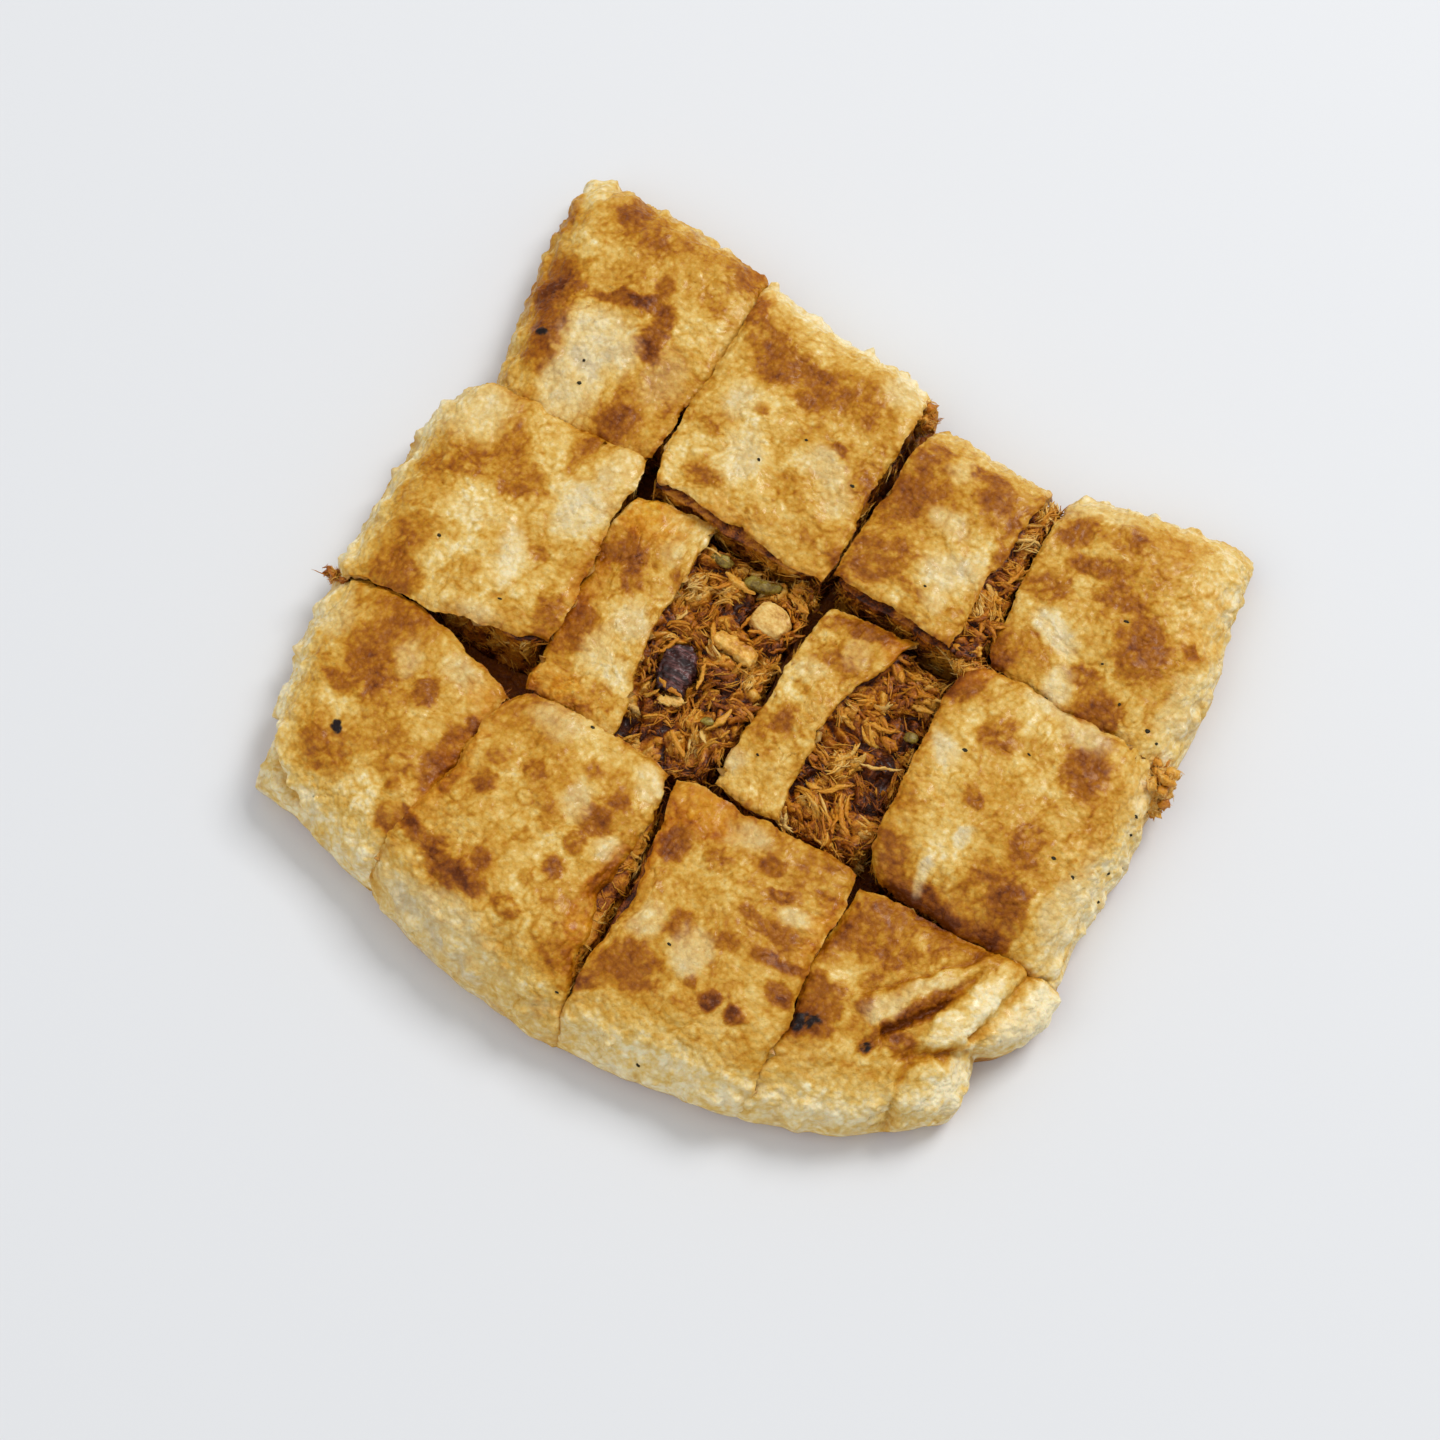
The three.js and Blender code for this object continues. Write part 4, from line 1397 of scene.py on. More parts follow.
@dataclass
class DoughWrap:
    """The fried dough of one slice, folded round its filling, or for a middle slice its lid and its base."""

    cut: Cut
    offset: Array
    finish: Material
    step: float = 0.36
    coarse: int = 4
    pepper: list[Lump] = field(default_factory=list)

    def __post_init__(self) -> None:
        """Lays the fine grid lines across and along the slice."""
        cut = self.cut
        shoulder = {side: SHOULDER[side] if side in cut.rims else 0.0 for side in Side}
        self.across = Lines.across(cut.width, shoulder[LEFT], shoulder[RIGHT], cut.shy_right[1], self.step, self.coarse)
        self.along = Lines.across(cut.depth, shoulder[NEAR], shoulder[FAR], 0.0, self.step, self.coarse)

    def thinned(self, grid: Array) -> Array:
        """Every fourth line of a grid, both ways."""
        return grid[:: self.coarse, :: self.coarse]

    def outer(self) -> tuple[Array, dict[str, Array]]:
        """The outer surface over the top.

        Returns:
            Its points, shape (n, m, 3), and its looks.
        """
        cut, across, along = self.cut, self.across, self.along
        v = np.broadcast_to(along.at / cut.depth, (len(across.at), len(along.at)))
        u = (across.at / across.at[-1])[:, None] * cut.reach(v)
        x, y = cut.plan(u, v)
        rise = across.rise[:, None] * along.rise[None, :]
        z = RIM_HEIGHT + (cut.top(u, v) - RIM_HEIGHT) * rise
        points = np.stack([x, y, z], -1)
        looks = Griddle(cut).work(points, u, v, rise)
        relief = looks.pop("relief")
        self.cut_edges(points, relief, looks)
        points = points + normals_of(points) * relief[..., None]
        for k, (pu, pv) in enumerate(cut.specks):
            nearest = np.argmin((u - pu) ** 2 + (v - pv) ** 2)
            size = 0.32 + 0.16 * (k * 0.618 % 1)
            self.pepper.append(Lump(tuple(points.reshape(-1, 3)[nearest]), (size * 1.3, size, size * 0.6), 0.0, 2))
        return points, looks

    def cut_edges(self, points: Array, relief: Array, looks: dict[str, Array]) -> None:
        """Makes the cut sides ragged, spread, sunk and stained, and darkens the top along them as painted shade, in
        place.

        Args:
            points: the outer surface, shape (n, m, 3).
            relief: its relief in mm.
            looks: its looks.
        """
        noise, cut = Noise(31), self.cut
        across = np.broadcast_to(self.across.at[:, None], relief.shape)
        along = np.broadcast_to(self.along.at, relief.shape)
        u, v = across / self.across.at[-1], along / cut.depth
        reach = {LEFT: across, RIGHT: self.across.at[-1] - across, NEAR: along, FAR: self.along.at[-1] - along}
        flat = points * (1, 1, 0)
        right, far = unit(flat[-1:] - flat[:1])[..., :2], unit(flat[:, -1:] - flat[:, :1])[..., :2]
        inward = {LEFT: right, RIGHT: -right, NEAR: far, FAR: -far}
        for side in cut.cut_sides:
            away, salt = reach[side], 40 + side.value
            ragged = 0.6 * np.abs(noise.fractal(flat, 7.0, 3, salt)) + 0.25 * np.abs(noise.fractal(flat, 1.6, 2, salt))
            spread = cut.at_side(cut.spread, side, u, v) + 0.9 * noise.smooth(flat, 13.0, salt + 20)
            move = np.minimum(ragged, 1.0) * np.exp(-away / 0.9) - spread * np.exp(-((away / 6.0) ** 2))
            points[..., :2] += inward[side] * move[..., None]
            points[..., 2] -= cut.sunk(side, u, v, away)
            curl = 1.0 * noise.smooth(flat, 14.0, salt) - 0.35
            soft = np.clip(spread, 0, 2)
            relief += curl * np.exp(-away / 4.5) - (0.4 + 0.35 * soft) * np.exp(-((away / (0.6 + 0.4 * soft)) ** 2))
            edge = np.exp(-away / 1.5) * ease(-0.35, 0.5, noise.fractal(flat, 5.0, 2, salt + 9))
            looks["stain"] = np.clip(looks["stain"] + 0.5 * edge, 0, 1)
            # Painted shade: the top is browned just inside each cut side, beside the gap.
            looks["toast"] = looks["toast"] + 0.14 * np.exp(-away / 1.2)

    def envelope(self) -> Shell:
        """Folds the dough over the top, round each rim and back underneath, open at the cuts.

        Returns:
            The piece.
        """
        cut = self.cut
        top, looks = self.outer()
        under = self.underside()
        shell = Shell()
        outer_top = shell.add(top, **looks)
        inner_top = shell.add(self.thinned(top - normals_of(top) * DOUGH), inner=1.0)
        # The under layer's upper face is turmeric stained, and its dark brown is painted shade where it shows in the
        # gaps between slices.
        inner_under = shell.add(under + normals_of(under) * DOUGH, toast=0.85, stain=0.9)
        outer_under = shell.add(under, toast=self.under_browning(under))
        shell.cover(outer_top, True)
        shell.cover(inner_top, False)
        shell.cover(inner_under, True)
        shell.cover(outer_under, False)
        for side in Side:
            outside, inside, within, below = (
                border(grid, side) for grid in (outer_top, inner_top, inner_under, outer_under)
            )
            if side in cut.rims:
                shell.wall(outside, below)
                shell.wall(inside, within, inward=True)
                continue
            shell.wall(outside, inside)
            shell.wall(within, below)
            order = (inside, within, below, outside)
            if Side((side.value + 1) % 4) in cut.rims:
                shell.faces.append([int(line[-1]) for line in order])
            if Side((side.value - 1) % 4) in cut.rims:
                shell.faces.append([int(line[0]) for line in reversed(order)])
        return shell

    @staticmethod
    def under_browning(under: Array) -> Array:
        """How brown the griddle made the underside."""
        return 0.52 + 0.25 * Noise(5).fractal(under, 9.0, 3, 3)

    def underside(self) -> Array:
        """The lowest surface, rounded up towards each rim, on every fourth line.

        Returns:
            Its points, shape (n, m, 3).
        """
        cut = self.cut

        def lift(lines: Lines, first: Side, last: Side) -> Array:
            """How flat the underside is along one way.

            Args:
                lines: the grid lines across that way.
                first: the side where they start.
                last: the side where they end.

            Returns:
                1 where it lies flat, less near a rim.
            """
            at = lines.at[:: self.coarse]
            flat = np.ones(len(at))
            for side, away in ((first, at), (last, lines.at[-1] - at)):
                if side in cut.rims:
                    flat *= 1 - 0.9 * np.clip(1 - away / (0.3 * SHOULDER[side]), 0, 1) ** 3
            return flat

        low = lift(self.across, LEFT, RIGHT)[:, None] * lift(self.along, NEAR, FAR)[None, :]
        v = np.broadcast_to(self.along.at[:: self.coarse] / cut.depth, low.shape)
        u = (self.across.at[:: self.coarse] / cut.width)[:, None] * np.ones_like(v)
        (x, y), (dx, dy) = cut.straight(u, v), cut.shift(u, v, 1 - low)
        points = np.stack([x + dx, y + dy, RIM_HEIGHT * (1 - low)], -1)
        points[..., 2] += 0.25 * np.abs(Noise(5).fractal(points, 6.0, 3, 1)) * (low > 0.99)
        # Ledges and skirts push the under layer out at the cuts into the gaps between slices: partly the real bottom
        # layer, partly a dark sheet of painted shade over the floor there.
        for side, way in OUTWARD.items():
            if side not in cut.rims:
                near = np.exp(-((cut.from_side(side, u, v) / SKIRT_RUN) ** 2))
                ledge = (LEDGE + cut.at_side(cut.skirt, side, u, v)) * near
                points[..., :2] += (ledge * low)[..., None] * np.array(way)
        return points

    def lid(self) -> Shell:
        """Lays the upper sheet of a middle slice.

        Returns:
            The piece.
        """
        top, looks = self.outer()
        shell = Shell()
        outer = shell.add(top, **looks)
        shell.slab(outer, shell.add(self.thinned(top - normals_of(top) * DOUGH), inner=1.0))
        return shell

    def base(self) -> Shell:
        """Lays the lower sheet of a middle slice.

        Returns:
            The piece.
        """
        bare = Cut(self.cut.name, self.cut.corners, (), 0, 0)
        under = replace(self, cut=bare).underside()
        shell = Shell()
        low = shell.add(under, toast=self.under_browning(under))
        # The sheet's upper face is turmeric stained, and its dark brown is painted shade where it shows in the gaps
        # between slices.
        shell.slab(shell.add(under + (0, 0, UNDER_SHEET), toast=0.85, stain=0.9), low)
        return shell

    def build(self) -> None:
        """Makes the slice's dough pieces."""
        name = self.cut.name
        if self.cut.lid is None:
            parts = {f"crust_{name}": self.envelope()}
        else:
            parts = {f"crust_{name}_lid": self.lid(), f"crust_{name}_base": self.base()}
        for node, shell in parts.items():
            put(f"fried_{node}", shell.mesh(node, self.offset), self.finish, "fried_dough", node)


@dataclass(frozen=True)
class Fibre:
    """A shred or strip of meat: sizes in mm, how far it bends in degrees, and how deep the ridges along it are."""

    length: float
    width: float
    thickness: float
    bend: float
    seed: int
    rings: int = 8
    sides: int = 6
    ridge: float = 0.0

    def surface(self) -> tuple[Array, list[list[int]]]:
        """Draws the fibre along X, round the origin.

        Returns:
            Its points in mm and its faces.
        """
        chance = np.random.default_rng(self.seed)
        t = np.linspace(0, 1, self.rings)
        waver = 0.5 * chance.normal(0, 0.25, 3)
        swing = sum(w * np.sin(2 * np.pi * t * (k + 1) + chance.uniform(0, 6)) for k, w in enumerate(waver))
        heading = np.radians(self.bend) * (t - 0.5) + swing
        pitch = chance.normal(0, 0.14, self.rings)
        stride = self.length / (self.rings - 1)
        path = np.cumsum(np.stack([np.cos(heading), np.sin(heading), pitch], -1) * stride, axis=0)
        path -= path.mean(0)
        plump = np.sin(np.pi * np.clip(t * 0.9 + 0.05, 0, 1)) ** 0.6 * chance.uniform(0.72, 1.15, self.rings)
        angle = np.linspace(0, 2 * np.pi, self.sides, endpoint=False)
        across = np.stack([-np.sin(heading), np.cos(heading), 0 * heading], -1)
        twist = chance.uniform(-0.5, 0.5) + chance.uniform(-0.6, 0.6) * t[:, None]
        fluted = 1 + self.ridge * np.cos(5 * angle[None, :] + 2 * np.sin(3 * t[:, None] + self.seed))
        wide = np.cos(angle + twist) * plump[:, None] * fluted * self.width / 2
        tall = np.sin(angle + twist) * plump[:, None] * fluted * self.thickness / 2
        ring = path[:, None, :] + across[:, None, :] * wide[..., None] + np.array([0, 0, 1.0]) * tall[..., None]
        n, count = self.sides, self.rings * self.sides
        turn = [(j, (j + 1) % n) for j in range(n)]
        last = count - n
        faces = [[i + j, i + k, i + n + k, i + n + j] for i in range(0, last, n) for j, k in turn]
        tips = [path[0] - (path[1] - path[0]) * 0.25, path[-1] + (path[-1] - path[-2]) * 0.25]
        faces += [[count, k, j] for j, k in turn] + [[count + 1, last + j, last + k] for j, k in turn]
        return np.vstack([ring.reshape(-1, 3), tips]), faces

    def make(self, strands: int) -> Object:
        """Builds a loose shape of such fibres side by side.

        Args:
            strands: how many.

        Returns:
            The shape.
        """
        chance = np.random.default_rng(self.seed)
        fibres = []
        for k in range(strands):
            points, faces = replace(self, seed=self.seed * 7 + k, bend=self.bend + 14 * k).surface()
            fan = Matrix.Rotation(math.radians(chance.uniform(-14, 14)), 3, "Z")
            aside = chance.uniform(-0.5, 0.5, 3) * (3, 1.5, 0.6) * (strands > 1)
            fibres.append((points @ np.array(fan) + aside, faces))
        return bpy.data.objects.new("shred", fibres_mesh("shred", fibres))


def fibres_mesh(name: str, fibres: list[tuple[Array, list[list[int]]]]) -> Mesh:
    """One mesh of several fibres, its faces turned outward.

    Args:
        name: the mesh's name.
        fibres: each fibre's points in mm and its faces.

    Returns:
        The mesh.
    """
    blocks = [points for points, _ in fibres]
    starts = [0, *itertools.accumulate(map(len, blocks))]
    faces = [[starts[k] + p for p in face] for k, (_, own) in enumerate(fibres) for face in own]
    mesh = mesh_of(name, np.concatenate(blocks), faces)
    bm = bmesh.new()
    bm.from_mesh(mesh)
    bmesh.ops.recalc_face_normals(bm, faces=bm.faces)
    bm.to_mesh(mesh)
    bm.free()
    mesh.shade_smooth()
    return mesh


@dataclass(frozen=True)
class Strip:
    """A long shred laid on an open filling.

    u and v are its middle as shares of the slice, turn its heading from the slice's width in degrees, tint its tone
    from dark 0 to pale 1, and lift how far it stands off the filling, in mm.
    """

    u: float
    v: float
    length: float
    width: float
    turn: float
    tint: float
    bend: float = 20.0
    lift: float = 0.4
    lean: float = 0.0


@dataclass(frozen=True)
class Layer:
    """How one layer of loose shreds lies, each field an input of the scatter tree.

    density is their number in a square metre and smallest and largest their scale. lowest and highest say how far off
    the surface they lie, in metres, the tints what is added to its tone, and lean and spin_spread how far they tip and
    turn away from the heading, in radians.
    """

    density: float
    smallest: float
    largest: float
    lowest: float
    highest: float
    tint_low: float
    tint_high: float
    lean: float = 0.22
    spin_spread: float = 0.40


CUT_LAYER = Layer(3.2e5, 0.4, 0.9, -0.0005, 0.0003, 0.0, 0.45, 0.2, 3.14)
CRUMB_LAYER = Layer(2.6e5, 0.3, 0.6, -0.0003, 0.0003, 0.1, 0.5, 0.4, 3.14)
OPEN_LAYERS = (
    Layer(3.0e5, 0.35, 0.8, -0.0005, 0.0002, 0.04, 0.34), Layer(1.5e5, 0.6, 1.1, -0.0006, 0.0003, 0.08, 0.42),
    Layer(0.5e5, 0.5, 0.95, 0.0, 0.0006, 0.16, 0.56),
)


class Scatter(Graph):
    """A Geometry Nodes tree that strews loose shapes over a surface.

    The surface's "spread" attribute says where they may lie and "heading" which way they point, in radians.
    """

    INPUTS = {
        "Shapes": "Collection", "Finish": "Material", "Density": "Float", "Smallest": "Float", "Largest": "Float",
        "Lean": "Float", "Spin Spread": "Float", "Lowest": "Float", "Highest": "Float", "Tint Low": "Float",
        "Tint High": "Float", "Seed": "Int",
    }
    # How much of the surface's own tone, painted shade in its crevices included, the shapes on it share, how far above
    # the floor they stay, in mm, and how far apart the seeds of a layer's random numbers are.
    SHARED_TINT, CLEARANCE, SEED_STEP = 0.85, 0.05, 101.0

    def __init__(self) -> None:
        """Builds the tree."""
        super().__init__(bpy.data.node_groups.new("strew", "GeometryNodeTree"))
        face = self.tree.interface
        face.new_socket("Geometry", in_out="INPUT", socket_type="NodeSocketGeometry")
        self.sockets = {
            name: face.new_socket(name, in_out="INPUT", socket_type=f"NodeSocket{kind}").identifier
            for name, kind in self.INPUTS.items()
        }
        face.new_socket("Geometry", in_out="OUTPUT", socket_type="NodeSocketGeometry")
        self._wire()

    def _random(self, low: Any, high: Any, seed: Value) -> Value:
        """A random number for each point."""
        node = self.node("FunctionNodeRandomValue", {"data_type": "FLOAT"}, {2: low, 3: high, 8: seed})
        return Value(self, node.outputs[1])

    def _stored(self, name: str) -> Value:
        """A number that the surface carries."""
        node = self.node("GeometryNodeInputNamedAttribute", {"data_type": "FLOAT"}, {"Name": name})
        return Value(self, node.outputs["Attribute"])

    def _wire(self) -> None:
        """Links the tree from its inputs to its output."""
        given = self.node("NodeGroupInput", {}, {}).outputs
        names = ("Density", "Lean", "Spin Spread", "Seed")
        density, lean, spin, first_seed = (Value(self, given[name]) for name in names)
        seed = {k: first_seed + k * self.SEED_STEP for k in range(1, 8)}
        points = self.node(
            "GeometryNodeDistributePointsOnFaces", {"distribute_method": "RANDOM"},
            {"Mesh": given["Geometry"], "Seed": first_seed, "Density": density * self._stored("spread")},
        )
        normal = points.outputs["Normal"]
        heading = self._stored("heading")
        turn = self.node("ShaderNodeCombineXYZ", {}, {
            0: self._random(lean * -1.0, lean, seed[1]), 1: self._random(lean * -1.0, lean, seed[2]),
            2: self._random(heading - spin, heading + spin, seed[3]),
        })
        upright = self.node("FunctionNodeAlignRotationToVector", {"axis": "Z"}, {"Vector": normal})
        euler = self.node("FunctionNodeEulerToRotation", {}, {0: turn.outputs[0]})
        rotation = self.node(
            "FunctionNodeRotateRotation", {"rotation_space": "LOCAL"}, {0: upright.outputs[0], 1: euler.outputs[0]},
        )
        height = self._random(given["Lowest"], given["Highest"], seed[4])
        lift = self.node("ShaderNodeVectorMath", {"operation": "SCALE"}, {0: normal, "Scale": height})
        moved = self.node(
            "GeometryNodeSetPosition", {}, {"Geometry": points.outputs["Points"], "Offset": lift.outputs[0]},
        )
        shapes = self.node(
            "GeometryNodeCollectionInfo", {"transform_space": "ORIGINAL"},
            {"Collection": given["Shapes"], "Separate Children": True, "Reset Children": True},
        )
        which = self.node("FunctionNodeRandomValue", {"data_type": "INT"}, {4: 0, 5: 99, 8: seed[5]})
        laid = self.node("GeometryNodeInstanceOnPoints", {}, {
            "Points": moved.outputs[0], "Instance": shapes.outputs[0], "Pick Instance": True,
            "Instance Index": which.outputs[2], "Rotation": rotation.outputs[0],
            "Scale": self._random(given["Smallest"], given["Largest"], seed[6]),
        })
        own = self._random(given["Tint Low"], given["Tint High"], seed[7])
        tinted = self.node(
            "GeometryNodeStoreNamedAttribute", {"data_type": "FLOAT", "domain": "INSTANCE"},
            {"Geometry": laid.outputs[0], "Name": "tint", "Value": self._stored("tint") * self.SHARED_TINT + own},
        )
        real = self.node("GeometryNodeRealizeInstances", {}, {0: tinted.outputs[0]})
        dressed = self.node("GeometryNodeSetMaterial", {}, {"Geometry": real.outputs[0], "Material": given["Finish"]})
        self.node("NodeGroupOutput", {}, {0: dressed.outputs[0]})

    def strew(
        self, name: str, surface: Mesh, spread: Array, shapes: Collection,
        finish: Material, layer: Layer, seed: int,
    ) -> None:
        """Makes a piece of shapes strewn over a surface.

        Args:
            name: the new piece's name.
            surface: the mesh that the shapes lie on.
            spread: how thickly they lie at each of its points, from 0 to 1.
            shapes: the shapes.
            finish: their material.
            layer: how they lie.
            seed: the same seed always lays them in the same way.
        """
        bed = surface.copy()
        set_look(bed, "spread", spread)
        maker = in_scene(name, bed)
        modifier = maker.modifiers.new("strew", "NODES")
        modifier.node_group = self.tree
        for key, value in {**vars(layer), "shapes": shapes, "finish": finish, "seed": seed}.items():
            modifier[self.sockets[key.replace("_", " ").title()]] = value
        mesh = worked(maker)
        mesh.name = name
        set_points(mesh, np.maximum(points_of(mesh), (-np.inf, -np.inf, self.CLEARANCE)))
        put(name, mesh, finish, "filling")


def shape_collection(
    name: str, sizes: Iterable[tuple[float, float, float, float, int]], rings: int, sides: int,
) -> Collection:
    """Makes loose shreds, outside the scene.

    Args:
        name: the collection's name.
        sizes: each shape's length, width and thickness in mm, bend in degrees and number of fibres.
        rings: how many rings of points a fibre has.
        sides: how many points a ring has.

    Returns:
        The collection.
    """
    collection = bpy.data.collections.new(name)
    for seed, (length, width, thick, bend, strands) in enumerate(sizes):
        fibre = Fibre(length, width, thick, bend, seed + 10 * sides, rings, sides, 0.1 * (sides > 4))
        collection.objects.link(fibre.make(strands))
    return collection


@dataclass
class Filling:
    """The shredded filling of one slice: a matted core, the loose shreds on it and the long ones laid one by one."""

    # How far below the dough the filling stays, in mm.
    ROOM = 1.4

    cut: Cut
    offset: Array
    finish: Material
    scatter: Scatter
    shreds: Collection
    pulled: Collection
    strips: tuple[Strip, ...]
    wander: float

    def ceiling(self, u: Array, v: Array) -> Array:
        """How high the filling may reach under the dough.

        Args:
            u: shares of the width.
            v: shares of the depth.

        Returns:
            The heights in mm.
        """
        cut = self.cut
        sunk = sum(cut.sunk(side, u, v, cut.from_side(side, u, v)) for side in cut.cut_sides)
        return cut.top(u, v) - sunk - DOUGH - self.ROOM

    def mat(self, points: Array) -> tuple[Array, Array, Array]:
        """Clumps of parallel fibres.

        Args:
            points: positions in mm, shape (n, 3).

        Returns:
            The relief in mm, the tint, darker in the crevices as painted shade, and the fibres' heading in radians.
        """
        noise = Noise(13)
        bent = points + 1.4 * noise.vectors(points, 5.0, (31, 32, 33))
        clump, tuft = noise.cells(bent * (1, 1, 0.5), 6.5, 3), noise.cells(bent, 2.8, 4)
        way = (clump.owner - 0.5) * self.wander
        along = clump.arm[:, 0] * np.cos(way) + clump.arm[:, 1] * np.sin(way)
        side = clump.arm[:, 1] * np.cos(way) - clump.arm[:, 0] * np.sin(way)
        lane = np.stack([along / 4.0 + clump.owner * 31, side / 0.8, points[:, 2] / 1.1 + clump.owner * 9], -1)
        strand = np.abs(noise.fractal(lane, 1.0, 2, 5))
        crevice = np.maximum(1 - ease(0.0, 0.20, clump.edge), 0.7 * (1 - ease(0.0, 0.16, tuft.edge)))
        dome = np.clip(1 - 1.4 * clump.near**2, 0, 1)
        relief = 2.0 * (clump.owner * 7 % 1 - 0.45) * dome + 0.7 * strand - 1.9 * crevice
        relief += 0.7 * noise.fractal(points, 6.0, 2, 1) + 0.7 * (tuft.owner - 0.5) * (1 - tuft.near)
        # Painted shade: the tint is darker in the crevices between clumps and tufts.
        tint = 0.22 + 0.36 * strand + 0.22 * dome + 0.60 * (clump.owner * 13 % 1 - 0.45) - 0.34 * crevice
        tint += 0.30 * (tuft.owner - 0.5)
        return relief, tint, way

    def core(self) -> tuple[Mesh, Array, Array]:
        """The matted core.

        Returns:
            Its mesh, which points lie open to the sky, and which lie on a cut.
        """
        cut = self.cut
        is_open = cut.lid is not None or any(cut.shy_right)
        mesh = remeshed(f"filling_{cut.name}", 0.5 if is_open else 0.9)
        points, facing = points_of(mesh), point_normals(mesh)
        u, v = cut.locate(*(points - self.offset)[:, :2].T)
        points[:, :2] += np.stack(cut.shift(u, v), -1)
        relief, tint, way = self.mat(points)
        sideways = np.abs(facing[:, 2]) < 0.6
        sky = (facing[:, 2] > 0.4) & (u > cut.reach(v) - 0.02) & is_open
        lumps = np.where(sky, relief - 0.7, np.where(sideways, 0.55 * relief - 0.7, -0.2))
        points += facing * lumps[:, None]
        spilt = np.zeros(len(points))
        for side, push in OUTWARD.items():
            spill = cut.at_side(cut.spill, side, u, v) * np.exp(-((cut.from_side(side, u, v) / SPILL_RUN) ** 2))
            spilt += spill
            spill *= 1 - 0.75 * np.clip(points[:, 2] / cut.height, 0, 1)
            points[:, :2] += spill[:, None] * np.array(push)
        points[:, 2] = np.minimum(points[:, 2], np.where(sky, np.inf, self.ceiling(u, v)))
        set_points(mesh, drift(points - self.offset) + self.offset)
        slope = (spilt > 2) & (points[:, 2] > 3.0) & (points[:, 2] < cut.height - 3.0)
        beside = np.min([cut.from_side(side, u, v) for side in cut.cut_sides], axis=0) < 3.0
        set_look(mesh, "tint", np.clip(np.where(sky, tint, 0.7 * tint + 0.2 * slope), 0, 1))
        set_look(mesh, "heading", way)
        mesh.shade_smooth()
        return mesh, sky, slope | (sideways & beside & (points[:, 2] > 5.5) & (points[:, 2] < cut.height - 4))

    def long_shreds(self, name: str) -> None:
        """Lays the listed strips as one piece.

        Args:
            name: the piece's name.
        """
        cut, fibres, tints = self.cut, [], []
        for seed, strip in enumerate(self.strips):
            thickness = min(1.5, 0.6 * strip.width + 0.3)
            points, faces = Fibre(strip.length, strip.width, thickness, strip.bend, 300 + seed, 16, 14, 0.16).surface()
            x, y = cut.plan(np.array(strip.u), np.array(strip.v))
            z = cut.height - (3.1 if cut.lid else 2.6) + strip.lift
            spin, tip = math.radians(strip.turn), math.radians(strip.lean)
            turn = Matrix.Rotation(spin, 3, "Z") @ Matrix.Rotation(tip, 3, "Y")
            rough = 0.16 * Noise(3 + seed).fractal(points, 1.2, 2, 1)
            points = (points + rough[:, None]) @ np.array(turn).T + (float(x), float(y), z)
            fibres.append((drift(points) + self.offset, faces))
            tints.append(np.full(len(points), strip.tint))
        mesh = fibres_mesh(name, fibres)
        set_look(mesh, "tint", np.concatenate(tints))
        put(name, mesh, self.finish, "filling")

    def build(self) -> None:
        """Makes the core and its shreds."""
        name = self.cut.name
        mesh, sky, cut_face = self.core()
        put(f"filling_core_{name}", mesh, self.finish, "filling", f"filling_{name}")
        number = ord(name[0]) * 7 + int(name[1])
        self.scatter.strew(f"cut_shreds_{name}", mesh, cut_face, self.shreds, self.finish, CUT_LAYER, number)
        if not sky.any():
            return
        tint = np.zeros(len(sky), np.float32)
        mesh.attributes["tint"].data.foreach_get("value", tint)
        patchy = ease(-0.5, 0.4, Noise(19).fractal(points_of(mesh), 6.0, 2, 2)) * ease(0.02, 0.25, tint)
        heaps = zip((self.shreds, self.pulled, self.shreds), OPEN_LAYERS, strict=True)
        for k, (shapes, layer) in enumerate(heaps):
            piece, spread = f"open_shreds_{name}_{k}", sky * (0.12 + 0.88 * patchy)
            self.scatter.strew(piece, mesh, spread, shapes, self.finish, layer, number + k * 50)
        self.long_shreds(f"long_shreds_{name}")


STRIPS: dict[str, tuple[Strip, ...]] = {
    "a3": (
        Strip(0.93, 0.22, 7, 1.3, 98, 0.52, -20, 0.2), Strip(0.97, 0.48, 6.5, 1.4, 80, 0.62, 18, 0.1),
        Strip(0.9, 0.04, 7, 1.5, 8, 0.66, 16, -0.2),
    ),
    "b2": (
        Strip(0.645, 0.9, 8.5, 2.2, -9, 0.8, 35, 0), Strip(0.95, 0.955, 6.5, 1.8, -12, 0.6, 10, 0),
        Strip(0.64, 0.28, 7, 2.4, 35, 0.92, 15, -0.2), Strip(0.58, 0.4, 6, 1.8, 80, 0.55, -20, -0.1),
        Strip(0.9, 0.3, 7.5, 1.6, 70, 0.7, 22, 0), Strip(0.78, 0.12, 7, 1.6, -38, 0.6, -12, 0),
        Strip(0.515, 0.505, 6, 1.2, 65, 0.5, 20, 1.2), Strip(0.72, 0.44, 6.5, 1.1, 100, 0.62, -25, 1.2),
        Strip(0.62, 0.325, 6.5, 1.2, -10, 0.55, 20, 1), Strip(0.765, 0.77, 6, 1.2, 85, 0.55, 18, 1.3),
        Strip(0.86, 0.735, 6.5, 1.1, 15, 0.66, -24, 1.2), Strip(0.66, 0.64, 6, 1, 120, 0.6, 22, 1.3),
    ),
    "b3": (
        Strip(0.87, 0.445, 10, 0.8, 24, 0.95, 50, 0.7), Strip(0.64, 0.41, 6.5, 1.6, 20, 0.92, -15, 0.1),
        Strip(0.76, 0.64, 8.5, 1.3, 16, 0.66, 26, 0.1), Strip(0.67, 0.25, 8, 1.4, 34, 0.66, 14, 0),
        Strip(0.88, 0.8, 7.5, 1.4, 8, 0.7, 24, 0.1), Strip(0.83, 0.16, 7, 1.4, -48, 0.55, 24, 0),
    ),
}


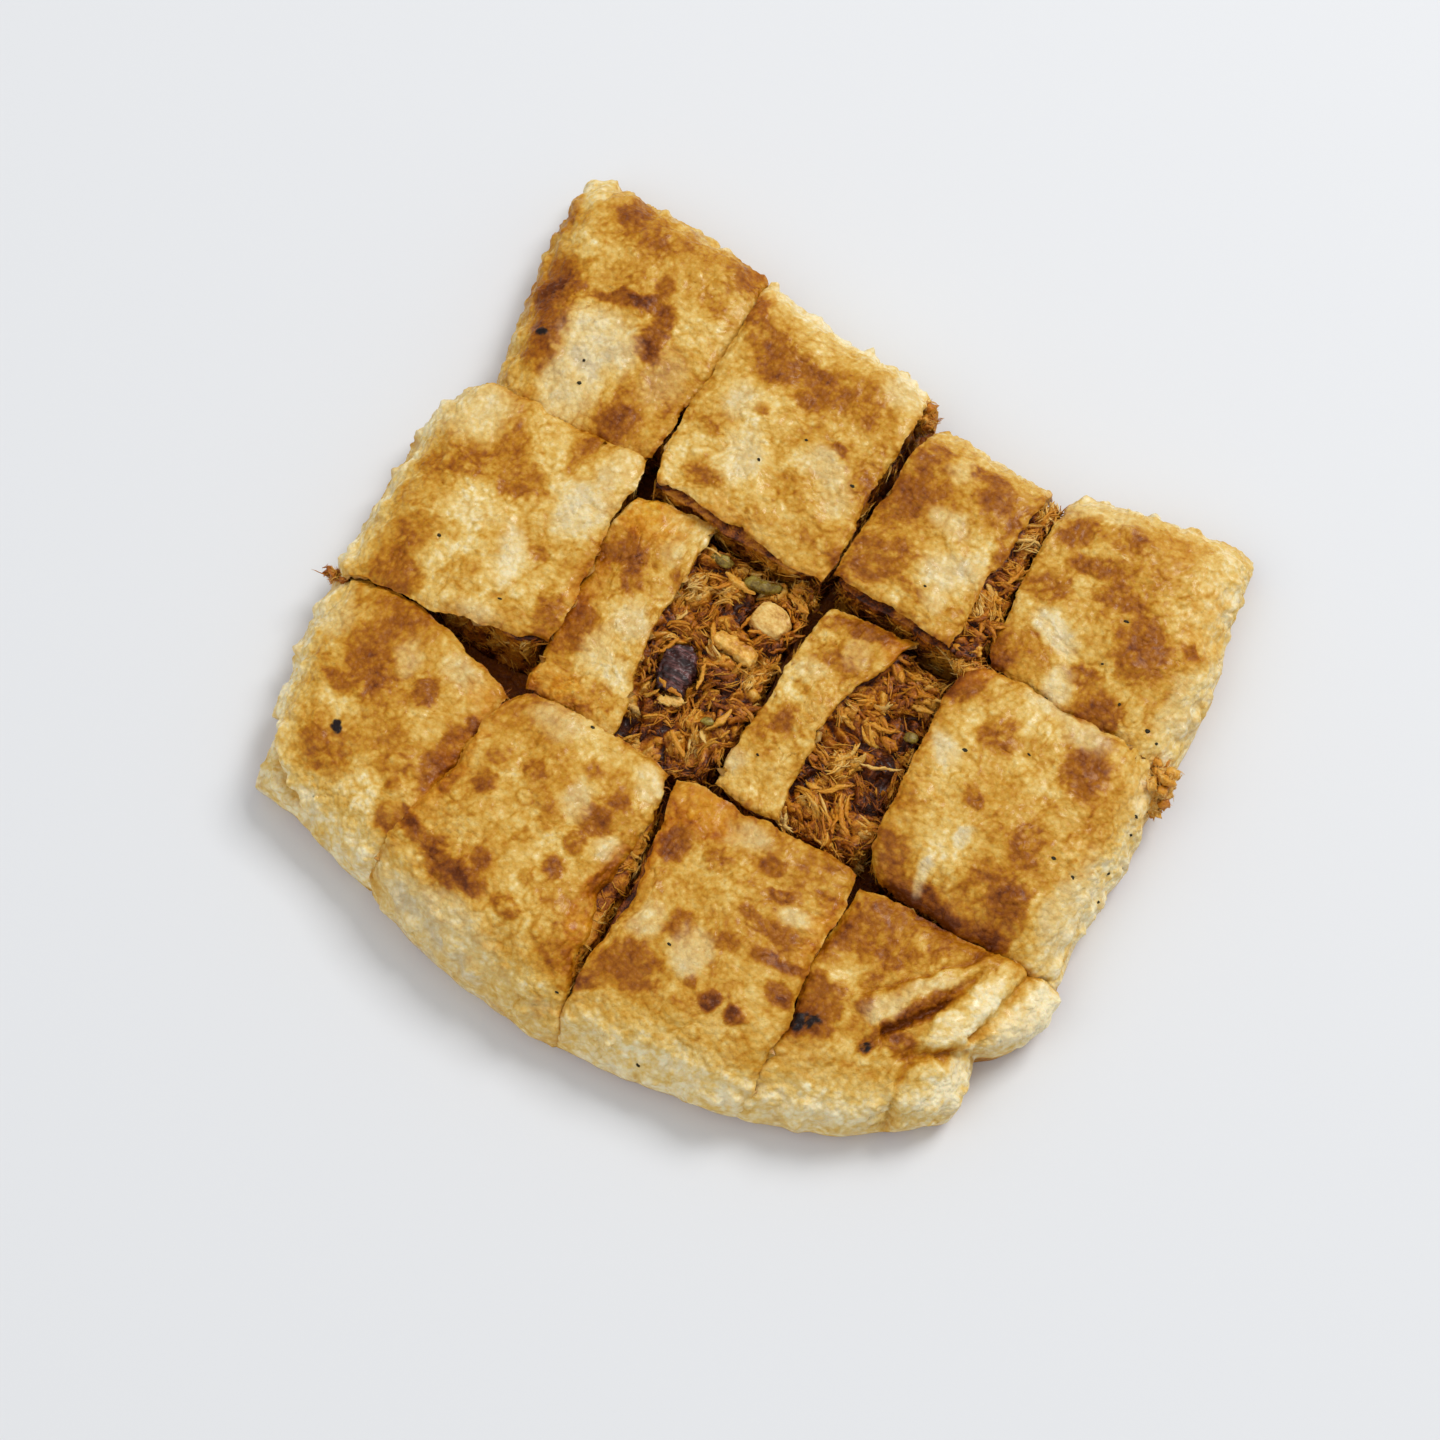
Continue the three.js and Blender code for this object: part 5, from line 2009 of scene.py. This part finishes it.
@dataclass(frozen=True)
class Cluster:
    """Crumbs of filling that cling to the dough: their middle and half spread in loaf mm, number and tone."""

    at: Triple
    spread: Triple
    count: int
    tint: float

    def lumps(self) -> list[Lump]:
        """Strews the crumbs.

        Returns:
            The crumbs.
        """
        chance = np.random.default_rng(self.count + round(abs(self.at[0])))
        places = np.clip(chance.normal(0, 0.45, (self.count, 3)), -0.8, 0.8) * self.spread + self.at
        sizes = chance.uniform(0.7, 1.6, (self.count, 1)) * chance.uniform(0.7, 1.3, (self.count, 3))
        tints = self.tint + chance.uniform(-0.2, 0.2, self.count)
        return [Lump(tuple(p), tuple(s), float(t), 2) for p, s, t in zip(places, sizes, tints, strict=True)]


CRUMBS: tuple[Cluster, ...] = (
    Cluster((96.6, 33.8, 12), (3.8, 4.4, 5), 44, 0.7), Cluster((98.2, 30.5, 8), (2.6, 4.2, 4.4), 26, 0.64),
    Cluster((-92.6, -17.3, 11), (3.6, 1.6, 3.4), 30, 0.34), Cluster((7.3, 86.5, 13), (1.6, 4.2, 4.2), 30, 0.5),
    Cluster((46.2, 33.5, 17.6), (4, 1.5, 1.6), 22, 0.5), Cluster((4.5, 32.4, 12), (3, 1.2, 3), 16, 0.45),
)

CHILLI_BITS: tuple[Lump, ...] = (
    Lump((43.6, 13, 15.2), (1.6, 1.4, 0.8), 0.5), Lump((-16.4, 29.8, 14.5), (2.8, 1.5, 0.9), 0.5),
    Lump((0.8, -6.8, 14.6), (1.4, 1.1, 0.7), 0.5),
)


@dataclass
class Bit:
    """A larger bit in the open filling, from its CAD node. roughness and lumps are its relief's height and width."""

    node: str
    slot: str
    finish: Material
    roughness: float
    lumps: float
    offset: Array

    def build(self) -> None:
        """Makes the piece."""
        mesh = remeshed(self.node, 0.32)
        points = points_of(mesh)
        relief = self.roughness * Noise(53).fractal(points, self.lumps, 3, 1)
        points += point_normals(mesh) * (relief - 0.05)[:, None] - self.offset
        set_points(mesh, drift(points) + self.offset)
        mesh.shade_smooth()
        put(f"real_{self.node}", mesh, self.finish, self.slot, self.node)


# ---- Floor, light and camera ----


@dataclass(frozen=True)
class SoftLight:
    """A square soft light: its direction from the loaf in degrees, distance and size in metres, and watts."""

    name: str
    azimuth: float
    elevation: float
    away: float
    size: float
    power: float


@dataclass
class Studio:
    """A pale floor, soft light and the camera, set out round the loaf's own middle."""

    target: Vector
    azimuth: float = 30.0
    elevation: float = 68.38
    distance: float = 0.700
    lens: float = 75.2
    floor_size: float = 2.5
    floor_drop: float = 0.0002
    room: Colour = (0.96, 0.98, 1.0)
    room_strength: float = 0.50
    lights: tuple[SoftLight, ...] = (
        SoftLight("key", 160.0, 50, 2.4, 0.95, 33.0), SoftLight("fill", -30.0, 55, 2.2, 1.8, 9.5),
    )

    def hang(self, name: str, data: Any, azimuth: float, elevation: float, away: float) -> Object:
        """Puts a light or a camera round the loaf, facing it.

        Args:
            name: its name.
            data: the light or camera.
            azimuth: degrees from the near side towards the right.
            elevation: degrees above the floor.
            away: distance in metres.

        Returns:
            Its object.
        """
        a, e = math.radians(azimuth), math.radians(elevation)
        way = Vector((math.sin(a) * math.cos(e), -math.cos(a) * math.cos(e), math.sin(e)))
        item = in_scene(name, data)
        item.location = self.target + way * away
        item.rotation_euler = (self.target - item.location).to_track_quat("-Z", "Y").to_euler()
        return item

    def floor(self, finish: Material) -> None:
        """Lays the floor.

        Args:
            finish: its material.
        """
        bm = bmesh.new()
        bmesh.ops.create_grid(bm, x_segments=2, y_segments=2, size=self.floor_size)
        mesh = poured(bm, "floor")
        mesh.transform(Matrix.Translation((0, 0, -self.floor_drop)))
        mesh.materials.append(finish)
        in_scene("floor", mesh)

    def build(self, finish: Material) -> None:
        """Sets everything out.

        Args:
            finish: the floor's material.
        """
        self.floor(finish)
        for light in self.lights:
            data = bpy.data.lights.new(light.name, "AREA")
            data.shape, data.size, data.energy = "SQUARE", light.size, light.power
            self.hang(light.name, data, light.azimuth, light.elevation, light.away)
        world = bpy.data.worlds.new("room")
        world.use_nodes = True
        backdrop = world.node_tree.nodes["Background"].inputs
        backdrop["Color"].default_value = (*self.room, 1.0)
        backdrop["Strength"].default_value = self.room_strength
        scene = bpy.context.scene
        scene.world = world
        scene.view_settings.view_transform = "Standard"
        data = bpy.data.cameras.new("camera")
        data.lens, data.sensor_width = self.lens, 36.0
        scene.camera = self.hang("camera", data, self.azimuth, self.elevation, self.distance)


# Loose shreds and pulled flakes: length, width and thickness in mm, bend in degrees and number of fibres.
SHREDS = (
    (7, 0.55, 0.45, 40, 3), (9, 0.5, 0.4, -60, 2), (6, 0.7, 0.5, 30, 3), (5, 1.3, 0.6, -20, 1), (8, 0.45, 0.4, 90, 2),
    (6, 0.4, 0.4, -80, 3), (4.5, 1.7, 0.7, 15, 1), (7, 0.6, 0.45, -45, 2), (8, 0.5, 0.4, 60, 1),
)
FLAKES = (
    (7, 1.2, 0.7, 70, 2), (8, 1.1, 0.7, -90, 2), (6, 1.6, 0.8, 55, 2), (5, 2.2, 0.9, -40, 1), (9, 0.9, 0.6, 110, 2),
    (6, 1.3, 0.8, -80, 2), (4, 2.8, 1.1, 30, 1),
)
CHICKEN = Morsel("cooked_chicken", rgb(180, 118, 40), rgb(226, 178, 92), rgb(240, 206, 128), 0.45, (1.5, 1, 1))
STAINED = Morsel("stained_chicken", rgb(190, 120, 30), rgb(228, 170, 66), rgb(240, 198, 110), 0.42, (1.8, 1, 1))
ONION = Morsel("browned_onion", rgb(24, 7, 8), rgb(60, 26, 22), rgb(124, 78, 74), 0.42, (2.2, 0.5, 1), 0.22)
CHILLI = Morsel("green_chilli", rgb(88, 64, 14), rgb(132, 106, 30), rgb(164, 144, 58), 0.35)
STEP, QUICK_STEP = 0.36, 0.8
# How far apart in heading, in radians, the clumps of fibres of one slice lie where they all run much the same way.
COMBED = {"b3": 1.8}


def main() -> None:
    """Builds every piece and sets the scene."""
    logging.basicConfig(level=logging.INFO, format="%(message)s")
    offset = loaf_offset()
    dough, filling = FriedDough().make(), ShreddedFilling().make()
    scatter = Scatter()
    shreds, pulled = shape_collection("shreds", SHREDS, 6, 4), shape_collection("pulled", FLAKES, 6, 5)
    pepper: list[Lump] = []
    for cut in CUTS:
        wrap = DoughWrap(cut, offset, dough, STEP)
        wrap.build()
        pepper += wrap.pepper
        strips, wander = STRIPS.get(cut.name, ()), COMBED.get(cut.name, math.pi)
        Filling(cut, offset, filling, scatter, shreds, pulled, strips, wander).build()
    put("pepper", lumps_mesh("pepper", pepper, offset, 0.3), Pepper().make(), "fried_dough")
    crumbs = lumps_mesh("filling_crumbs", (lump for cluster in CRUMBS for lump in cluster.lumps()), offset, 0.7)
    put("filling_crumbs", crumbs, filling, "filling")
    scatter.strew("crumb_shreds", crumbs, np.ones(len(crumbs.vertices)), shreds, filling, CRUMB_LAYER, 5)
    chilli = CHILLI.make()
    put("chilli_bits", lumps_mesh("chilli_bits", CHILLI_BITS, offset, 0.25), chilli, "chilli")
    for bit in (
        Bit("chicken_cube", "chicken", CHICKEN.make(), 0.22, 2.2, offset),
        Bit("chicken_strip", "chicken", STAINED.make(), 0.6, 1.8, offset),
        Bit("onion_petal", "onion", ONION.make(), 0.8, 2.4, offset),
        Bit("chilli_slice", "chilli", chilli, 0.4, 2.5, offset),
    ):
        bit.build()
    Studio(Vector(offset * MM)).build(PlainFloor().make())


if __name__ == "__main__":
    main()
